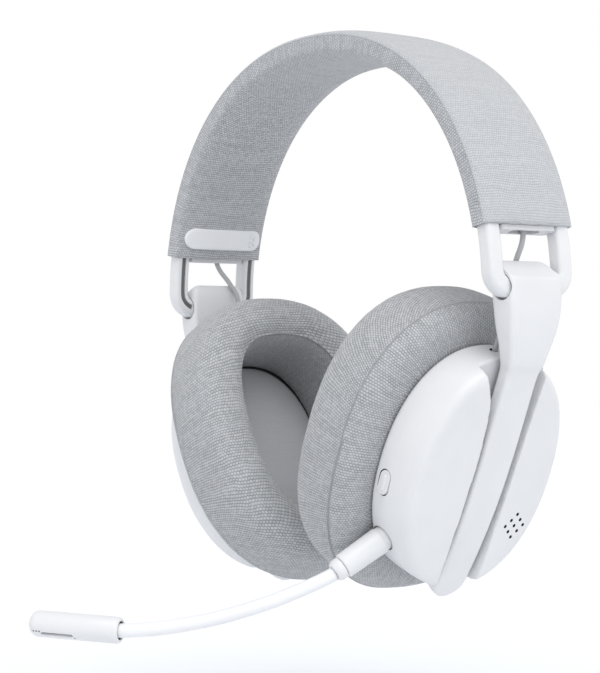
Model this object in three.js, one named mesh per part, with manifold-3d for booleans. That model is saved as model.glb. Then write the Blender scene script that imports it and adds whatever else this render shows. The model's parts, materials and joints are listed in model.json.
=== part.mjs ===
// A wireless over-ear gaming headset: a padded headband, two forks that slide in and out of it,
// an arm hanging from each fork, an ear cup on each arm and a plug-in microphone on the left cup.
// Millimetres. +Z is up, -Y is the way the wearer faces and +X is the wearer's left.
// The origin is the middle of the cushion under the top of the headband, where the headset hangs.
import * as THREE from 'three';
import { mergeVertices } from 'three/addons/utils/BufferGeometryUtils.js';
import Module from 'manifold-3d';

const wasm = await Module();
wasm.setup();

// ---------------------------------------------------------------- driving dimensions
const GAP = 0.3; // running and assembly gap between neighbours

// Headband: its middle line is a superellipse in the XZ plane
const ARCH_HALF_WIDTH = 85.6;
const ARCH_HEIGHT = 95.5;
const ARCH_POWER = 2.19;
const ARCH_CENTRE_Z = -89.362;
const BAND_END_Z = -63;
const BAND_HALF_WIDTH = 20;
const RIDGE = 2.9; // from the middle line out to the ridge on each side
const CROWN = 1.5; // how much the cover rises over its ridges
const CUSHION_BULGE = 3.3; // how much the cushion hangs under its ridges
const REST_HALF_WIDTH = 9; // of the flat middle of the cushion
const END_TAPER = 26; // length over which the cushion thins towards each end
const BAND_STATIONS = 25; // odd, so that one flat facet of the cushion spans the top
const BAND_HOLLOW = 3.05; // half depth of the space between cover and cushion
const SIDE_WALL = 0.9; // of the cover and the cushion, beside that space

// Forks: two prongs on an arc that follows the band
const SLIDE_CENTRE = { x: -8.9, z: -80.2 };
const SLIDE_RADIUS = 93.7;
const PRONG_Y = 15.75;
const PRONG_WIDTH = 5.9;
const PRONG_DEPTH = 5.6;
const PRONG_HOLD = 30; // length of prong inside the band
const SLIDE_BACK = 8.6; // how far the fork can still slide into the band
const ELBOW_RADIUS = 5.5;
const BOSS_RADIUS = 3.8;
const PIVOT = { x: 84.77, z: -82.5 };
const PIN_RADIUS = 1.2;

// Ear cups: frame on the plane where pad and shell meet, x out of the cup, z up along it
const CUP_CENTRE = { x: 49.5, y: -1.2, z: -137.3 };
const CUP_TILT = THREE.MathUtils.degToRad(24);
const CUP_HALF_WIDTH = 33.2;
const CUP_HALF_HEIGHT = 41;
const CUP_DEPTH = 17.3; // from the pad to the ridge round the outer face
const CUP_POWER = 2.2;
const WALL = 2;
const WIRE_ENTRY = { x: 6, y: -1.6 }; // where the wire goes in at the top of the cup
const FACE_CROWN = 1.5;
const CHANNEL_FLOOR = 12.2; // floor of the groove that the arm lies in
const BALL_X = 9;
const BALL_RADIUS = 2.8;
const NECK_RADIUS = 1.8;
const STUD_END = 17.2;

// Ear pads
const PAD_HALF_WIDTH = 43.7;
const PAD_HALF_HEIGHT = 52.3;
const PAD_POWER = 2.35;
const PAD_DEPTH = 31;
const PAD_SHIFT_Y = -1.1;

// Arms
const ARM_OUTER_X = 19.4; // outer face of the arm in the cup's frame
const ARM_Y = -CUP_CENTRE.y; // the headset's middle plane in the cup's frame
const ARM_DEPTH = 5.4;
const ARM_WIDTH = 14.2;
const ARM_TOP_Z = 37; // the arm lies along the cup from here
const ARM_END_Z = -45; // down to here
const ARM_CREST_Z = 10; // under its crest the arm bows in
const ARM_BOW_RADIUS = 255;

// Microphone
const MIC_SEAT = { x: 5.4, y: -27.5, z: -26.4 }; // in the left cup's frame, on the outside of the wall
const MIC_LEAN = THREE.MathUtils.degToRad(51.6); // from straight down towards the front
const MIC_INWARD = THREE.MathUtils.degToRad(5); // and towards the wearer
const MIC_BASE_RADIUS = 4.5;
const MIC_BASE_LENGTH = 15.6;
const MIC_COLLAR_LENGTH = 3.4;
const BOOM_RADIUS = 2.3;
const CAPSULE_RADIUS = 4.3;
const CAPSULE_LENGTH = 31;

// ---------------------------------------------------------------- materials
const material = (color, roughness, metalness = 0) =>
  new THREE.MeshStandardMaterial({ color, roughness, metalness });
const white = material(0xe9ebee, 0.42);
const greyPlastic = material(0xc9cdd2, 0.5);
const darkPlastic = material(0x3c4044, 0.55);
const bandFabric = material(0xb4bbc1, 0.95);
const padFabric = material(0xaeb6bc, 0.95);
const meshFabric = material(0x9aa2a9, 0.95);
const wireSkin = material(0xb9bdc2, 0.6);
const steel = material(0x9da1a6, 0.35, 1);
const boardGreen = material(0x1f5a3c, 0.6);
const cellBlue = material(0x4f6f9c, 0.5);

// ---------------------------------------------------------------- solids
const point = (x, y, z) => new THREE.Vector3(x, y, z);

// Builds an indexed geometry and turns its faces outwards
function geometryFrom(points, faces) {
  const geometry = new THREE.BufferGeometry();
  let volume = 0;
  for (const [a, b, c] of faces) {
    volume += points[a].dot(points[b].clone().cross(points[c]));
  }
  const outward = volume > 0 ? faces : faces.map(([a, b, c]) => [a, c, b]);
  geometry.setAttribute('position', new THREE.Float32BufferAttribute(points.flatMap((p) => p.toArray()), 3));
  geometry.setIndex(outward.flat());
  return geometry;
}

// A closed body through a row of outlines, each a list of [a, b]. place(a, b, i) gives the point of
// outline i. A looped body joins its last outline to its first.
function loft(outlines, place, looped = false) {
  const count = outlines[0].length;
  const points = outlines.flatMap((outline, i) => outline.map(([a, b]) => place(a, b, i)));
  const faces = [];
  const spans = looped ? outlines.length : outlines.length - 1;
  for (let i = 0; i < spans; i++) {
    const here = i * count;
    const next = ((i + 1) % outlines.length) * count;
    for (let j = 0; j < count; j++) {
      const k = (j + 1) % count;
      faces.push([here + j, here + k, next + k], [here + j, next + k, next + j]);
    }
  }
  if (!looped) {
    const cap = (outline, start, flip) => {
      const contour = outline.map(([a, b]) => new THREE.Vector2(a, b));
      for (const [a, b, c] of THREE.ShapeUtils.triangulateShape(contour, [])) {
        faces.push(flip ? [start + c, start + b, start + a] : [start + a, start + b, start + c]);
      }
    };
    const area = THREE.ShapeUtils.area(outlines[0].map(([a, b]) => new THREE.Vector2(a, b)));
    cap(outlines[0], 0, area > 0);
    cap(outlines.at(-1), (outlines.length - 1) * count, area < 0);
  }
  return geometryFrom(points, faces);
}

const sweep = (outline, stations, place, looped) => loft(stations.map(() => outline), place, looped);

function toSolid(geometry) {
  const bare = geometry.clone();
  for (const name of Object.keys(bare.attributes)) {
    if (name !== 'position') bare.deleteAttribute(name);
  }
  const merged = mergeVertices(bare, 1e-4);
  return new wasm.Manifold(new wasm.Mesh({
    numProp: 3,
    vertProperties: Float32Array.from(merged.attributes.position.array),
    triVerts: Uint32Array.from(merged.index.array),
  }));
}

function toGeometry(solid) {
  const mesh = solid.getMesh();
  const geometry = new THREE.BufferGeometry();
  geometry.setAttribute('position', new THREE.Float32BufferAttribute(mesh.vertProperties, 3));
  geometry.setIndex(Array.from(mesh.triVerts));
  return geometry;
}

const cut = (body, ...tools) =>
  toGeometry(tools.reduce((solid, tool) => solid.subtract(toSolid(tool)), toSolid(body)));
const join = (body, ...more) =>
  toGeometry(more.reduce((solid, piece) => solid.add(toSolid(piece)), toSolid(body)));

// ---------------------------------------------------------------- outlines and simple bodies
function roundedRect(width, height, radius, steps = 3) {
  const outline = [];
  const corners = [[1, 1, 0], [-1, 1, 1], [-1, -1, 2], [1, -1, 3]];
  for (const [sa, sb, quarter] of corners) {
    for (let i = 0; i <= steps; i++) {
      const angle = (quarter + i / steps) * Math.PI / 2;
      outline.push([
        sa * (width / 2 - radius) + radius * Math.cos(angle),
        sb * (height / 2 - radius) + radius * Math.sin(angle),
      ]);
    }
  }
  return outline;
}

function superellipse(halfWidth, halfHeight, power, count) {
  return Array.from({ length: count }, (_, i) => {
    const angle = i / count * Math.PI * 2;
    const bend = (value) => Math.sign(value) * Math.abs(value) ** (2 / power);
    return [halfWidth * bend(Math.cos(angle)), halfHeight * bend(Math.sin(angle))];
  });
}

function box(x0, x1, y0, y1, z0, z1) {
  return new THREE.BoxGeometry(x1 - x0, y1 - y0, z1 - z0)
    .translate((x0 + x1) / 2, (y0 + y1) / 2, (z0 + z1) / 2);
}

// A turned body about the X axis: profile points are [radius, x]
function turned(profile, sides = 24) {
  const outline = profile.map(([radius, x]) => new THREE.Vector2(Math.max(radius, 0), x));
  return new THREE.LatheGeometry(outline, sides).rotateZ(-Math.PI / 2);
}

// A rod between two points
function rod(from, to, radius, sides = 16) {
  const length = from.distanceTo(to);
  const middle = from.clone().add(to).multiplyScalar(0.5);
  const turn = new THREE.Quaternion().setFromUnitVectors(point(0, 1, 0), to.clone().sub(from).normalize());
  return new THREE.CylinderGeometry(radius, radius, length, sides)
    .applyQuaternion(turn)
    .translate(middle.x, middle.y, middle.z);
}

// A tube of one radius along a smooth curve through the points
function tube(points, radius, steps, sides = 8) {
  const circle = new THREE.Shape().absarc(0, 0, radius, 0, Math.PI * 2);
  return new THREE.ExtrudeGeometry(circle, {
    steps,
    curveSegments: sides / 2,
    bevelEnabled: false,
    extrudePath: new THREE.CatmullRomCurve3(points, false, 'centripetal'),
  });
}

// ---------------------------------------------------------------- headband
const archNormal = (x, dz) => {
  const nx = Math.sign(x) * (Math.abs(x) / ARCH_HALF_WIDTH) ** (ARCH_POWER - 1) / ARCH_HALF_WIDTH;
  const nz = (dz / ARCH_HEIGHT) ** (ARCH_POWER - 1) / ARCH_HEIGHT;
  return new THREE.Vector2(nx, nz).normalize();
};

// Samples of the arch's middle line from one band end to the other, with the length along it
const arch = (() => {
  const rise = (BAND_END_Z - ARCH_CENTRE_Z) / ARCH_HEIGHT;
  const last = Math.acos(rise ** (ARCH_POWER / 2));
  const samples = [];
  let length = 0;
  for (let i = 0; i <= 800; i++) {
    const angle = last * (i / 400 - 1);
    const sine = Math.sin(angle);
    const x = ARCH_HALF_WIDTH * Math.sign(sine) * Math.abs(sine) ** (2 / ARCH_POWER);
    const dz = ARCH_HEIGHT * Math.cos(angle) ** (2 / ARCH_POWER);
    if (i > 0) length += Math.hypot(x - samples[i - 1].x, dz - samples[i - 1].dz);
    samples.push({ x, dz, length });
  }
  return { samples, length };
})();

// A point of the band: along is the length from the right end, out is the height over the middle line
function bandPoint(along, y, out) {
  const target = THREE.MathUtils.clamp(along, 0, arch.length);
  const i = Math.max(1, arch.samples.findIndex((sample) => sample.length >= target));
  const [a, b] = [arch.samples[i - 1], arch.samples[i]];
  const share = (target - a.length) / (b.length - a.length);
  const x = a.x + share * (b.x - a.x);
  const dz = a.dz + share * (b.dz - a.dz);
  const normal = archNormal(x, dz);
  const beyond = along - target; // past an end the band runs on straight
  return point(
    x + out * normal.x + beyond * normal.y,
    y,
    ARCH_CENTRE_Z + dz + out * normal.y - beyond * normal.x,
  );
}

// A rectangle symmetrical about the first axis' zero
const slab = (half, from, to) => [[-half, from], [half, from], [half, to], [-half, to]];

const stationsBetween = (from, to, count) =>
  Array.from({ length: count + 1 }, (_, i) => from + (to - from) * i / count);

// Sweeps an outline of [y, out] along the band; shape(along) may change it on the way
function alongBand(shape, from, to, count) {
  const stations = stationsBetween(from, to, count);
  return loft(stations.map(shape), (y, out, i) => bandPoint(stations[i], y, out));
}

const PRONG_SIDE = BAND_HALF_WIDTH - SIDE_WALL; // half width of the space between the side walls
const bulgeAt = (y, bulge) => RIDGE + bulge * (1 - Math.abs(y / BAND_HALF_WIDTH) ** 4);

function coverOutline() {
  const seam = 2.3;
  const top = stationsBetween(-BAND_HALF_WIDTH, BAND_HALF_WIDTH, 6).map((y) => [y, bulgeAt(y, CROWN) + 0.15]);
  return [...top.reverse(), [-BAND_HALF_WIDTH, seam], [-PRONG_SIDE, seam], [-PRONG_SIDE, BAND_HOLLOW],
    [PRONG_SIDE, BAND_HOLLOW], [PRONG_SIDE, seam], [BAND_HALF_WIDTH, seam]];
}

function cushionOutline(along) {
  const seam = 2;
  const fromEnd = Math.min(along, arch.length - along);
  const fade = THREE.MathUtils.smoothstep(fromEnd, 0, END_TAPER);
  const bulge = CUSHION_BULGE - 1.3 * (1 - fade);
  const under = [-18.9, -15.5, -REST_HALF_WIDTH, REST_HALF_WIDTH, 15.5, 18.9]
    .map((y) => [y, -Math.max(bulgeAt(y, bulge), BAND_HOLLOW + 0.5)]);
  return [[-BAND_HALF_WIDTH, seam], [-BAND_HALF_WIDTH, -RIDGE], ...under, [BAND_HALF_WIDTH, -RIDGE],
    [BAND_HALF_WIDTH, seam], [PRONG_SIDE, seam], [PRONG_SIDE, -BAND_HOLLOW], [-PRONG_SIDE, -BAND_HOLLOW],
    [-PRONG_SIDE, seam]];
}

const FORK_ROOM = PRONG_HOLD + SLIDE_BACK + 2; // length of band the fork moves in
const CORE_SHOULDER = 18.6;
const CORE_WAIST = 12.3;
const CORE_TOP = 0.9;

function headbandCore() {
  const wide = slab(CORE_SHOULDER, -2.7, CORE_TOP);
  const narrow = slab(CORE_WAIST, -2.7, CORE_TOP);
  const groove = slab(1.5, -3.5, -0.6);
  const pocket = slab(6.5, -1.6, 3);
  const middle = alongBand(() => wide, FORK_ROOM, arch.length - FORK_ROOM, 19);
  const whole = alongBand(() => narrow, 0.3, arch.length - 0.3, BAND_STATIONS);
  const wireGroove = alongBand(() => groove, -1, arch.length + 1, BAND_STATIONS);
  const pockets = [[-1, 20], [arch.length - 20, arch.length + 1]]
    .map(([from, to]) => alongBand(() => pocket, from, to, 3));
  return cut(join(middle, whole), wireGroove, ...pockets);
}

function headbandSpring() {
  const strip = slab(9, 1.25, 2.05);
  return alongBand(() => strip, FORK_ROOM + 1, arch.length - FORK_ROOM - 1, 19);
}

function endPlate() {
  const outline = roundedRect(24.6, 5.6, 1.2, 2);
  const wireHole = roundedRect(13, 3.8, 1.6, 2);
  const plate = alongBand(() => outline, arch.length + 0.1, arch.length + 1.7, 1);
  return cut(plate, alongBand(() => wireHole, arch.length - 1, arch.length + 3, 1));
}

function badge() {
  const pill = roundedRect(35.5, 8.4, 4.19, 5);
  const centre = arch.length - 8.2;
  const back = -RIDGE - CUSHION_BULGE + 0.25;
  const thickness = 0.75;
  return loft([pill, pill], (y, along, i) => bandPoint(centre + along, y, back - i * thickness));
}

// ---------------------------------------------------------------- forks
// A point of the slide arc: down is the length below the pivot's level line, out is across the arc
function slidePoint(down, y, out) {
  const pivotAngle = Math.asin((PIVOT.z - SLIDE_CENTRE.z) / SLIDE_RADIUS);
  const angle = pivotAngle - down / SLIDE_RADIUS;
  const radius = SLIDE_RADIUS + out;
  return point(SLIDE_CENTRE.x + radius * Math.cos(angle), y, SLIDE_CENTRE.z + radius * Math.sin(angle));
}

// A rod on the axis that the arm tilts about
const pivotRod = (from, to, radius, sides) =>
  rod(point(PIVOT.x, from, PIVOT.z), point(PIVOT.x, to, PIVOT.z), radius, sides);

const BAND_END_DOWN = -19.9; // the band's end on the slide arc
const PRONG_TOP = BAND_END_DOWN - PRONG_HOLD;

// Stations down a prong and round its elbow: the middle's y and height, and the heading in the YZ sheet
function prongPath() {
  const straight = stationsBetween(PRONG_TOP, -ELBOW_RADIUS, 6)
    .map((down) => ({ y: PRONG_Y, down, heading: 0, round: 0 }));
  const bend = stationsBetween(0, 1, 4).slice(1).map((share) => {
    const turn = share * Math.PI / 2;
    return {
      y: PRONG_Y - ELBOW_RADIUS * (1 - Math.cos(turn)),
      down: -ELBOW_RADIUS + ELBOW_RADIUS * Math.sin(turn),
      heading: turn,
      round: share,
    };
  });
  const foot = [{ y: 9.5, down: 0, heading: Math.PI / 2, round: 1 }];
  return [...straight, ...bend, ...foot];
}

// Section of the prong: a rounded bar that turns into a round boss at the foot
function prongOutline(round) {
  const bar = roundedRect(PRONG_WIDTH, PRONG_DEPTH, 1.8, 2);
  return bar.map(([a, b]) => {
    const angle = Math.atan2(b, a);
    return [
      THREE.MathUtils.lerp(a, BOSS_RADIUS * Math.cos(angle), round),
      THREE.MathUtils.lerp(b, BOSS_RADIUS * Math.sin(angle), round),
    ];
  });
}

// Sweeps outlines of [across, out] along the prong's path; front is -1 for the prong at the front
function alongProng(path, outlines, front) {
  return loft(outlines, (across, out, i) => {
    const { y, down, heading } = path[i];
    const sheetY = y + across * Math.cos(heading);
    const sheetDown = down + across * Math.sin(heading);
    return slidePoint(sheetDown, front * sheetY, out);
  });
}

const grooved = (path) => path.filter(({ down, heading }) => down > BAND_END_DOWN - 9 && heading < 1.35);

function fork() {
  const path = prongPath();
  const prongs = [-1, 1].map((front) => {
    const prong = alongProng(path, path.map(({ round }) => prongOutline(round)), front);
    const stretch = grooved(path);
    const groove = slab(0.95, -BOSS_RADIUS - 2, -PRONG_DEPTH / 2 + 1.3);
    const pinHole = pivotRod(front * 8, front * 13.6, PIN_RADIUS + 0.1, 12);
    return cut(prong, alongProng(stretch, stretch.map(() => groove), front), pinHole);
  });
  const bridge = slab(PRONG_Y, 1.35, 2.6);
  const span = stationsBetween(PRONG_TOP + 0.5, PRONG_TOP + 8, 2);
  return join(sweep(bridge, span, (y, out, i) => slidePoint(span[i], y, out)), ...prongs);
}

function grooveStrip(front) {
  const stretch = grooved(prongPath());
  const strip = slab(0.65, -PRONG_DEPTH / 2 + 0.35, -PRONG_DEPTH / 2 + 1);
  return alongProng(stretch, stretch.map(() => strip), front);
}

const pivotPin = (front) => pivotRod(front * 4, front * 13.2, PIN_RADIUS, 12);

// ---------------------------------------------------------------- arms
// Turns a point of the left cup's frame into the headset's frame
function fromCup(x, y, z) {
  return point(
    CUP_CENTRE.x + x * Math.cos(CUP_TILT) + z * Math.sin(CUP_TILT),
    CUP_CENTRE.y + y,
    CUP_CENTRE.z - x * Math.sin(CUP_TILT) + z * Math.cos(CUP_TILT),
  );
}

// How far the arm and its channel have bowed in at a height along the cup
const armBow = (z) => Math.max(0, ARM_CREST_Z - z) ** 2 / (2 * ARM_BOW_RADIUS);

// Stations down the arm: middle of the section, its depth and its width
function armPath() {
  const head = [
    { x: 84.5, z: -73.8, depth: 5.2, width: 17 },
    { x: 84.5, z: -74.6, depth: 7.8, width: 20.6 },
    { x: 84.5, z: -76.4, depth: 9.4, width: 22.6 },
    { x: 84.6, z: -82.5, depth: 10, width: 23.4 },
    { x: 84.5, z: -90, depth: 9.4, width: 22.8 },
    { x: 83.9, z: -96, depth: 8.4, width: 21.2 },
    { x: 82.9, z: -101.5, depth: 7.2, width: 18.2 },
    { x: 81.6, z: -106.5, depth: 6.3, width: 15.9 },
  ];
  const middle = ARM_OUTER_X - ARM_DEPTH / 2;
  const lying = [ARM_TOP_Z, 24, ARM_CREST_Z, -4, -16, -28, -38]
    .map((z) => ({ lie: z, depth: ARM_DEPTH, width: ARM_WIDTH }));
  const tip = [
    { lie: ARM_END_Z + 3, depth: ARM_DEPTH - 0.2, width: ARM_WIDTH - 1.6 },
    { lie: ARM_END_Z + 1, depth: ARM_DEPTH - 1, width: ARM_WIDTH - 5 },
    { lie: ARM_END_Z, depth: ARM_DEPTH - 2.6, width: ARM_WIDTH - 8.4 },
  ];
  const laid = [...lying, ...tip].map(({ lie, depth, width }) => {
    const at = fromCup(middle - armBow(lie), 0, lie);
    return { x: at.x, z: at.z, depth, width };
  });
  return [...head, ...laid];
}

// Sweeps a section of [across, out] down the arm, square to its path
function alongArm(path, outlines) {
  return loft(outlines, (across, out, i) => {
    const before = path[Math.max(i - 1, 0)];
    const after = path[Math.min(i + 1, path.length - 1)];
    const down = new THREE.Vector2(after.x - before.x, after.z - before.z).normalize();
    return point(path[i].x - out * down.y, across, path[i].z + out * down.x);
  });
}

const ARM_COVER_FROM = 4; // stations that the arm's inner cover runs between
const ARM_COVER_TO = 14;

// The inner cover: a strip let into the side of the arm that faces the head
function armCoverBody(grow) {
  const path = armPath().slice(ARM_COVER_FROM, ARM_COVER_TO);
  const outlines = path.map(({ depth, width }) => {
    return slab(width / 2 - 3.6 + grow, -depth / 2 - 0.2 - 2 * grow, -depth / 2 + 1.2 + grow);
  });
  return alongArm(path, outlines);
}

const studHole = (grow) => rod(fromCup(0, ARM_Y, 0), fromCup(STUD_END + GAP, ARM_Y, 0), NECK_RADIUS + grow);
const armCover = () => cut(armCoverBody(0), studHole(GAP));

function arm() {
  const path = armPath();
  const outlines = path.map(({ depth, width }) => roundedRect(width, depth, Math.min(2.4, depth * 0.34), 2));
  const pockets = [-1, 1].flatMap((front) => [
    pivotRod(front * 9.1, front * 16, BOSS_RADIUS + 0.45, 18),
    pivotRod(front * 3.4, front * 10, PIN_RADIUS + 0.15, 12),
  ]);
  return cut(alongArm(path, outlines), ...pockets, armCoverBody(GAP), studHole(GAP));
}

// Ball stud on the arm that the cup swivels on, in the cup's frame
function ballStud() {
  const ball = stationsBetween(0, 0.78, 6).map((share) => {
    const angle = share * Math.PI;
    return [BALL_RADIUS * Math.sin(angle), BALL_X - BALL_RADIUS * Math.cos(angle)];
  });
  return turned([...ball, [NECK_RADIUS, BALL_X + 2.2], [NECK_RADIUS, STUD_END], [0, STUD_END]], 14)
    .translate(0, ARM_Y, 0);
}

// ---------------------------------------------------------------- ear cups
// A body through oval rings, each [x, share of the width, share of the height]
function cupBody(rings, halfWidth, halfHeight) {
  return loft(
    rings.map(([, wide, high = wide]) => superellipse(halfWidth * wide, halfHeight * high, CUP_POWER, 32)),
    (y, z, i) => point(rings[i][0], y, z),
  );
}

// The room over the channel that the arm lies in; grow widens it and lowers its floor
function channel(grow) {
  const walls = [ // height, front wall, rear wall
    [46, -11.6, 14.6], [30, -9.4, 13], [16, -7.4, 11.7], [4, -7.2, 11.1],
    [-10, -7.6, 10.6], [-20, -7.9, 10.2], [-30, -8.3, 9.9], [-38, -8.6, 9.7], [-46, -8.9, 9.6],
  ];
  const sections = walls.map(([z, front, rear]) => {
    const floor = CHANNEL_FLOOR - grow - armBow(z);
    return [[front - grow, floor], [rear + grow, floor], [rear + grow, 30], [front - grow, 30]];
  });
  return loft(sections, (y, x, i) => point(x, y, walls[i][0]));
}

function cupShell(isLeft) {
  const outer = cupBody([
    [0, 0.985], [1.4, 1], [6, 1], [11, 0.98, 1], [CUP_DEPTH - 2, 0.945, 0.995], [CUP_DEPTH, 0.92, 0.98],
    [CUP_DEPTH + 0.5, 0.89, 0.95], [CUP_DEPTH + 1, 0.67, 0.71], [CUP_DEPTH + FACE_CROWN, 0.3],
  ], CUP_HALF_WIDTH, CUP_HALF_HEIGHT);
  const cavity = cupBody(
    [[-1, 0.98], [6, 1], [CUP_DEPTH - 4, 0.96, 0.99], [CUP_DEPTH - 1.8, 0.88, 0.92]],
    CUP_HALF_WIDTH - WALL,
    CUP_HALF_HEIGHT - WALL,
  );
  const neckHole = rod(point(5, ARM_Y, 0), point(20, ARM_Y, 0), NECK_RADIUS + 1.1);
  const wireHole = rod(point(WIRE_ENTRY.x, WIRE_ENTRY.y, 36), point(WIRE_ENTRY.x, WIRE_ENTRY.y, 46), 1.5, 10);
  const holes = [neckHole, wireHole];
  if (isLeft) holes.push(...leftCupHoles());
  return cut(outer, cut(cavity, channel(WALL)), channel(0), ...holes);
}

// Positions of the vent holes, a square of three by three turned on its corner
function ventHoles() {
  const pitch = 3;
  const middle = { y: 19, z: -18 };
  const places = [];
  for (let row = -1; row <= 1; row++) {
    for (let column = -1; column <= 1; column++) {
      places.push({
        y: middle.y + (row + column) * pitch * Math.SQRT1_2,
        z: middle.z + (row - column) * pitch * Math.SQRT1_2,
      });
    }
  }
  return places;
}

const micDirection = point(
  -Math.sin(MIC_INWARD),
  -Math.sin(MIC_LEAN) * Math.cos(MIC_INWARD),
  -Math.cos(MIC_LEAN) * Math.cos(MIC_INWARD),
);
const micPoint = (out) => point(MIC_SEAT.x, MIC_SEAT.y, MIC_SEAT.z).addScaledVector(micDirection, out);

const BUTTON = { x: 5.1, z: -5.5, width: 4.6, height: 8.4 };
const BUTTON_FACE_Y = -33.3;
const WHEEL = { x: 7.4, y: 28.4, z: 2, radius: 6, width: 4.2 };
const USB = { x: 3.6, y: 5, width: 3.4, length: 9.2 };

// An upright pill that runs through the cup's side wall, for the button and its hole
function pillThroughWall(x, z, width, height, grow, from, to) {
  const outline = roundedRect(width + 2 * grow, height + 2 * grow, width / 2 + grow - 0.01);
  return loft([outline, outline], (a, b, i) => point(x + a, i ? to : from, z + b));
}

function leftCupHoles() {
  const vents = ventHoles().map(({ y, z }) => rod(point(12, y, z), point(22, y, z), 0.65, 6));
  const micHole = rod(micPoint(-5), micPoint(7), MIC_BASE_RADIUS + 0.1, 18);
  const buttonHole = pillThroughWall(BUTTON.x, BUTTON.z, BUTTON.width, BUTTON.height, GAP, -40, -26);
  const wheelSlot = box(WHEEL.x - 2.5, WHEEL.x + 2.5, 20, 40, WHEEL.z - 6.2, WHEEL.z + 6.2);
  const outline = roundedRect(USB.width, USB.length, USB.width / 2 - 0.01);
  const usbHole = loft([outline, outline], (a, b, i) => point(USB.x + a, USB.y + b, i ? -36 : -50));
  return [...vents, micHole, buttonHole, wheelSlot, usbHole];
}

function ballSocket() {
  const top = CHANNEL_FLOOR - armBow(0) - WALL - 2 * GAP;
  return turned([
    [BALL_RADIUS + GAP, BALL_X - 1.8], [5.2, BALL_X - 1.8], [5.2, top], [NECK_RADIUS + 1.3, top],
    [BALL_RADIUS + GAP, BALL_X + 0.2],
    [BALL_RADIUS + GAP, BALL_X - 1.8],
  ], 16).translate(0, ARM_Y, 0);
}

function baffle() {
  const plate = cupBody([[0.4, 1], [1.9, 1]], CUP_HALF_WIDTH - WALL - 1.4, CUP_HALF_HEIGHT - WALL - 1.6);
  return cut(plate, rod(point(-2, 0, 0), point(4, 0, 0), 20, 24));
}

function driverBasket() {
  const section = [[8.8, 3.8], [19.6, 3.8], [19.6, 2.2], [22, 2.2], [22, 3.4], [20.4, 5], [8.8, 5.4]];
  return turned([...section, section[0]], 22);
}

const driverMagnet = () => turned([[0, 3.6], [8.4, 3.6], [8.4, 5.6], [0, 5.6]], 18);

function baffleCloth() {
  const rings = [[-3.4, 0.5], [-2.8, 0.82], [-1.6, 1], [-0.4, 1], [-0.4, 0.5]];
  return cupBody(rings, 23.6, 32.6).translate(0, PAD_SHIFT_Y, 0);
}

// Section of the ear pad: [how far in from the outer edge, x]
const padSection = [
  [11.6, -0.4], [5, -1.4], [1.3, -4.2], [0, -8.6], [0, -18], [1.2, -24.6], [4.2, -29.2], [9.4, -PAD_DEPTH],
  [14, -30.2], [18, -26.4], [19.6, -19], [19.6, -9], [18.4, -0.4],
];

function earPad() {
  const rim = superellipse(PAD_HALF_WIDTH, PAD_HALF_HEIGHT, PAD_POWER, 32);
  const outward = rim.map((_, i) => {
    const [before, after] = [rim.at(i - 1), rim[(i + 1) % rim.length]];
    return new THREE.Vector2(after[1] - before[1], before[0] - after[0]).normalize();
  });
  return sweep(padSection, rim, (inset, x, i) =>
    point(x, PAD_SHIFT_Y + rim[i][0] - inset * outward[i].x, rim[i][1] - inset * outward[i].y), true);
}

// ---------------------------------------------------------------- electronics and controls
const circuitBoard = () => box(5.9, 6.9, -13.5, 15, -29, -9);
const batteryCell = () => box(6.2, 10.6, -26, -15, -13, 13);
const usbPort = () => box(USB.x - 1.5, 5.6, USB.y - 4.4, USB.y + 4.4, -36.2, -29.5);
const wheelEncoder = () => box(WHEEL.x - 1.8, WHEEL.x + 2, 16.6, 21.4, WHEEL.z - 4, WHEEL.z + 4);

function modeButton() {
  const cap = pillThroughWall(BUTTON.x, BUTTON.z, BUTTON.width, BUTTON.height, 0, BUTTON_FACE_Y, -28.2);
  const flange = box(BUTTON.x - 2.85, BUTTON.x + 2.85, -29, -28, BUTTON.z - 5, BUTTON.z + 5);
  return join(cap, flange);
}

function volumeWheel() {
  const wheel = new THREE.CylinderGeometry(WHEEL.radius, WHEEL.radius, WHEEL.width, 28);
  return wheel.rotateZ(Math.PI / 2).translate(WHEEL.x, WHEEL.y, WHEEL.z);
}

// ---------------------------------------------------------------- microphone
function alongMic(profile, sides = 20) {
  const turn = new THREE.Quaternion().setFromUnitVectors(point(1, 0, 0), micDirection);
  return turned(profile, sides).applyQuaternion(turn).translate(MIC_SEAT.x, MIC_SEAT.y, MIC_SEAT.z);
}

const micJack = () => alongMic([[1.9, -11], [3.2, -11], [3.2, -5.4], [1.9, -5.4], [1.9, -11]], 16);

function micBase() {
  return alongMic([
    [0, -10], [1.5, -10], [1.5, -5], [3.1, -5], [3.1, -2.6], [MIC_BASE_RADIUS - 0.3, -2.6],
    [MIC_BASE_RADIUS - 0.3, 0], [MIC_BASE_RADIUS, 0.8], [4.2, MIC_BASE_LENGTH - 0.5], [3.8, MIC_BASE_LENGTH],
    [0, MIC_BASE_LENGTH],
  ]);
}

function micCollar() {
  const start = MIC_BASE_LENGTH + GAP;
  const end = MIC_BASE_LENGTH + MIC_COLLAR_LENGTH;
  return alongMic([[0, start], [3.8, start], [3.2, end - 0.3], [2.8, end], [0, end]]);
}

// Route of the boom in the headset's frame, from the collar to the capsule
const boomRoute = [
  [37.1, -43.9, -174.4], [34.9, -49.2, -176.8], [32.1, -56.6, -179.6], [29, -64.8, -182.4],
  [23.7, -77.9, -185.8], [18.7, -88.1, -187.7], [12.7, -97.5, -189], [6.1, -105.5, -189.4],
].map(([x, y, z]) => point(x, y, z));

const capsuleStart = point(5.7, -105.8, -189.4);
const capsuleDirection = point(-0.83, -0.553, 0.063).normalize();
const capsuleTurn = new THREE.Quaternion().setFromUnitVectors(point(1, 0, 0), capsuleDirection);
const alongCapsule = (profile, sides) => turned(profile, sides)
  .applyQuaternion(capsuleTurn)
  .translate(capsuleStart.x, capsuleStart.y, capsuleStart.z);

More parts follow.
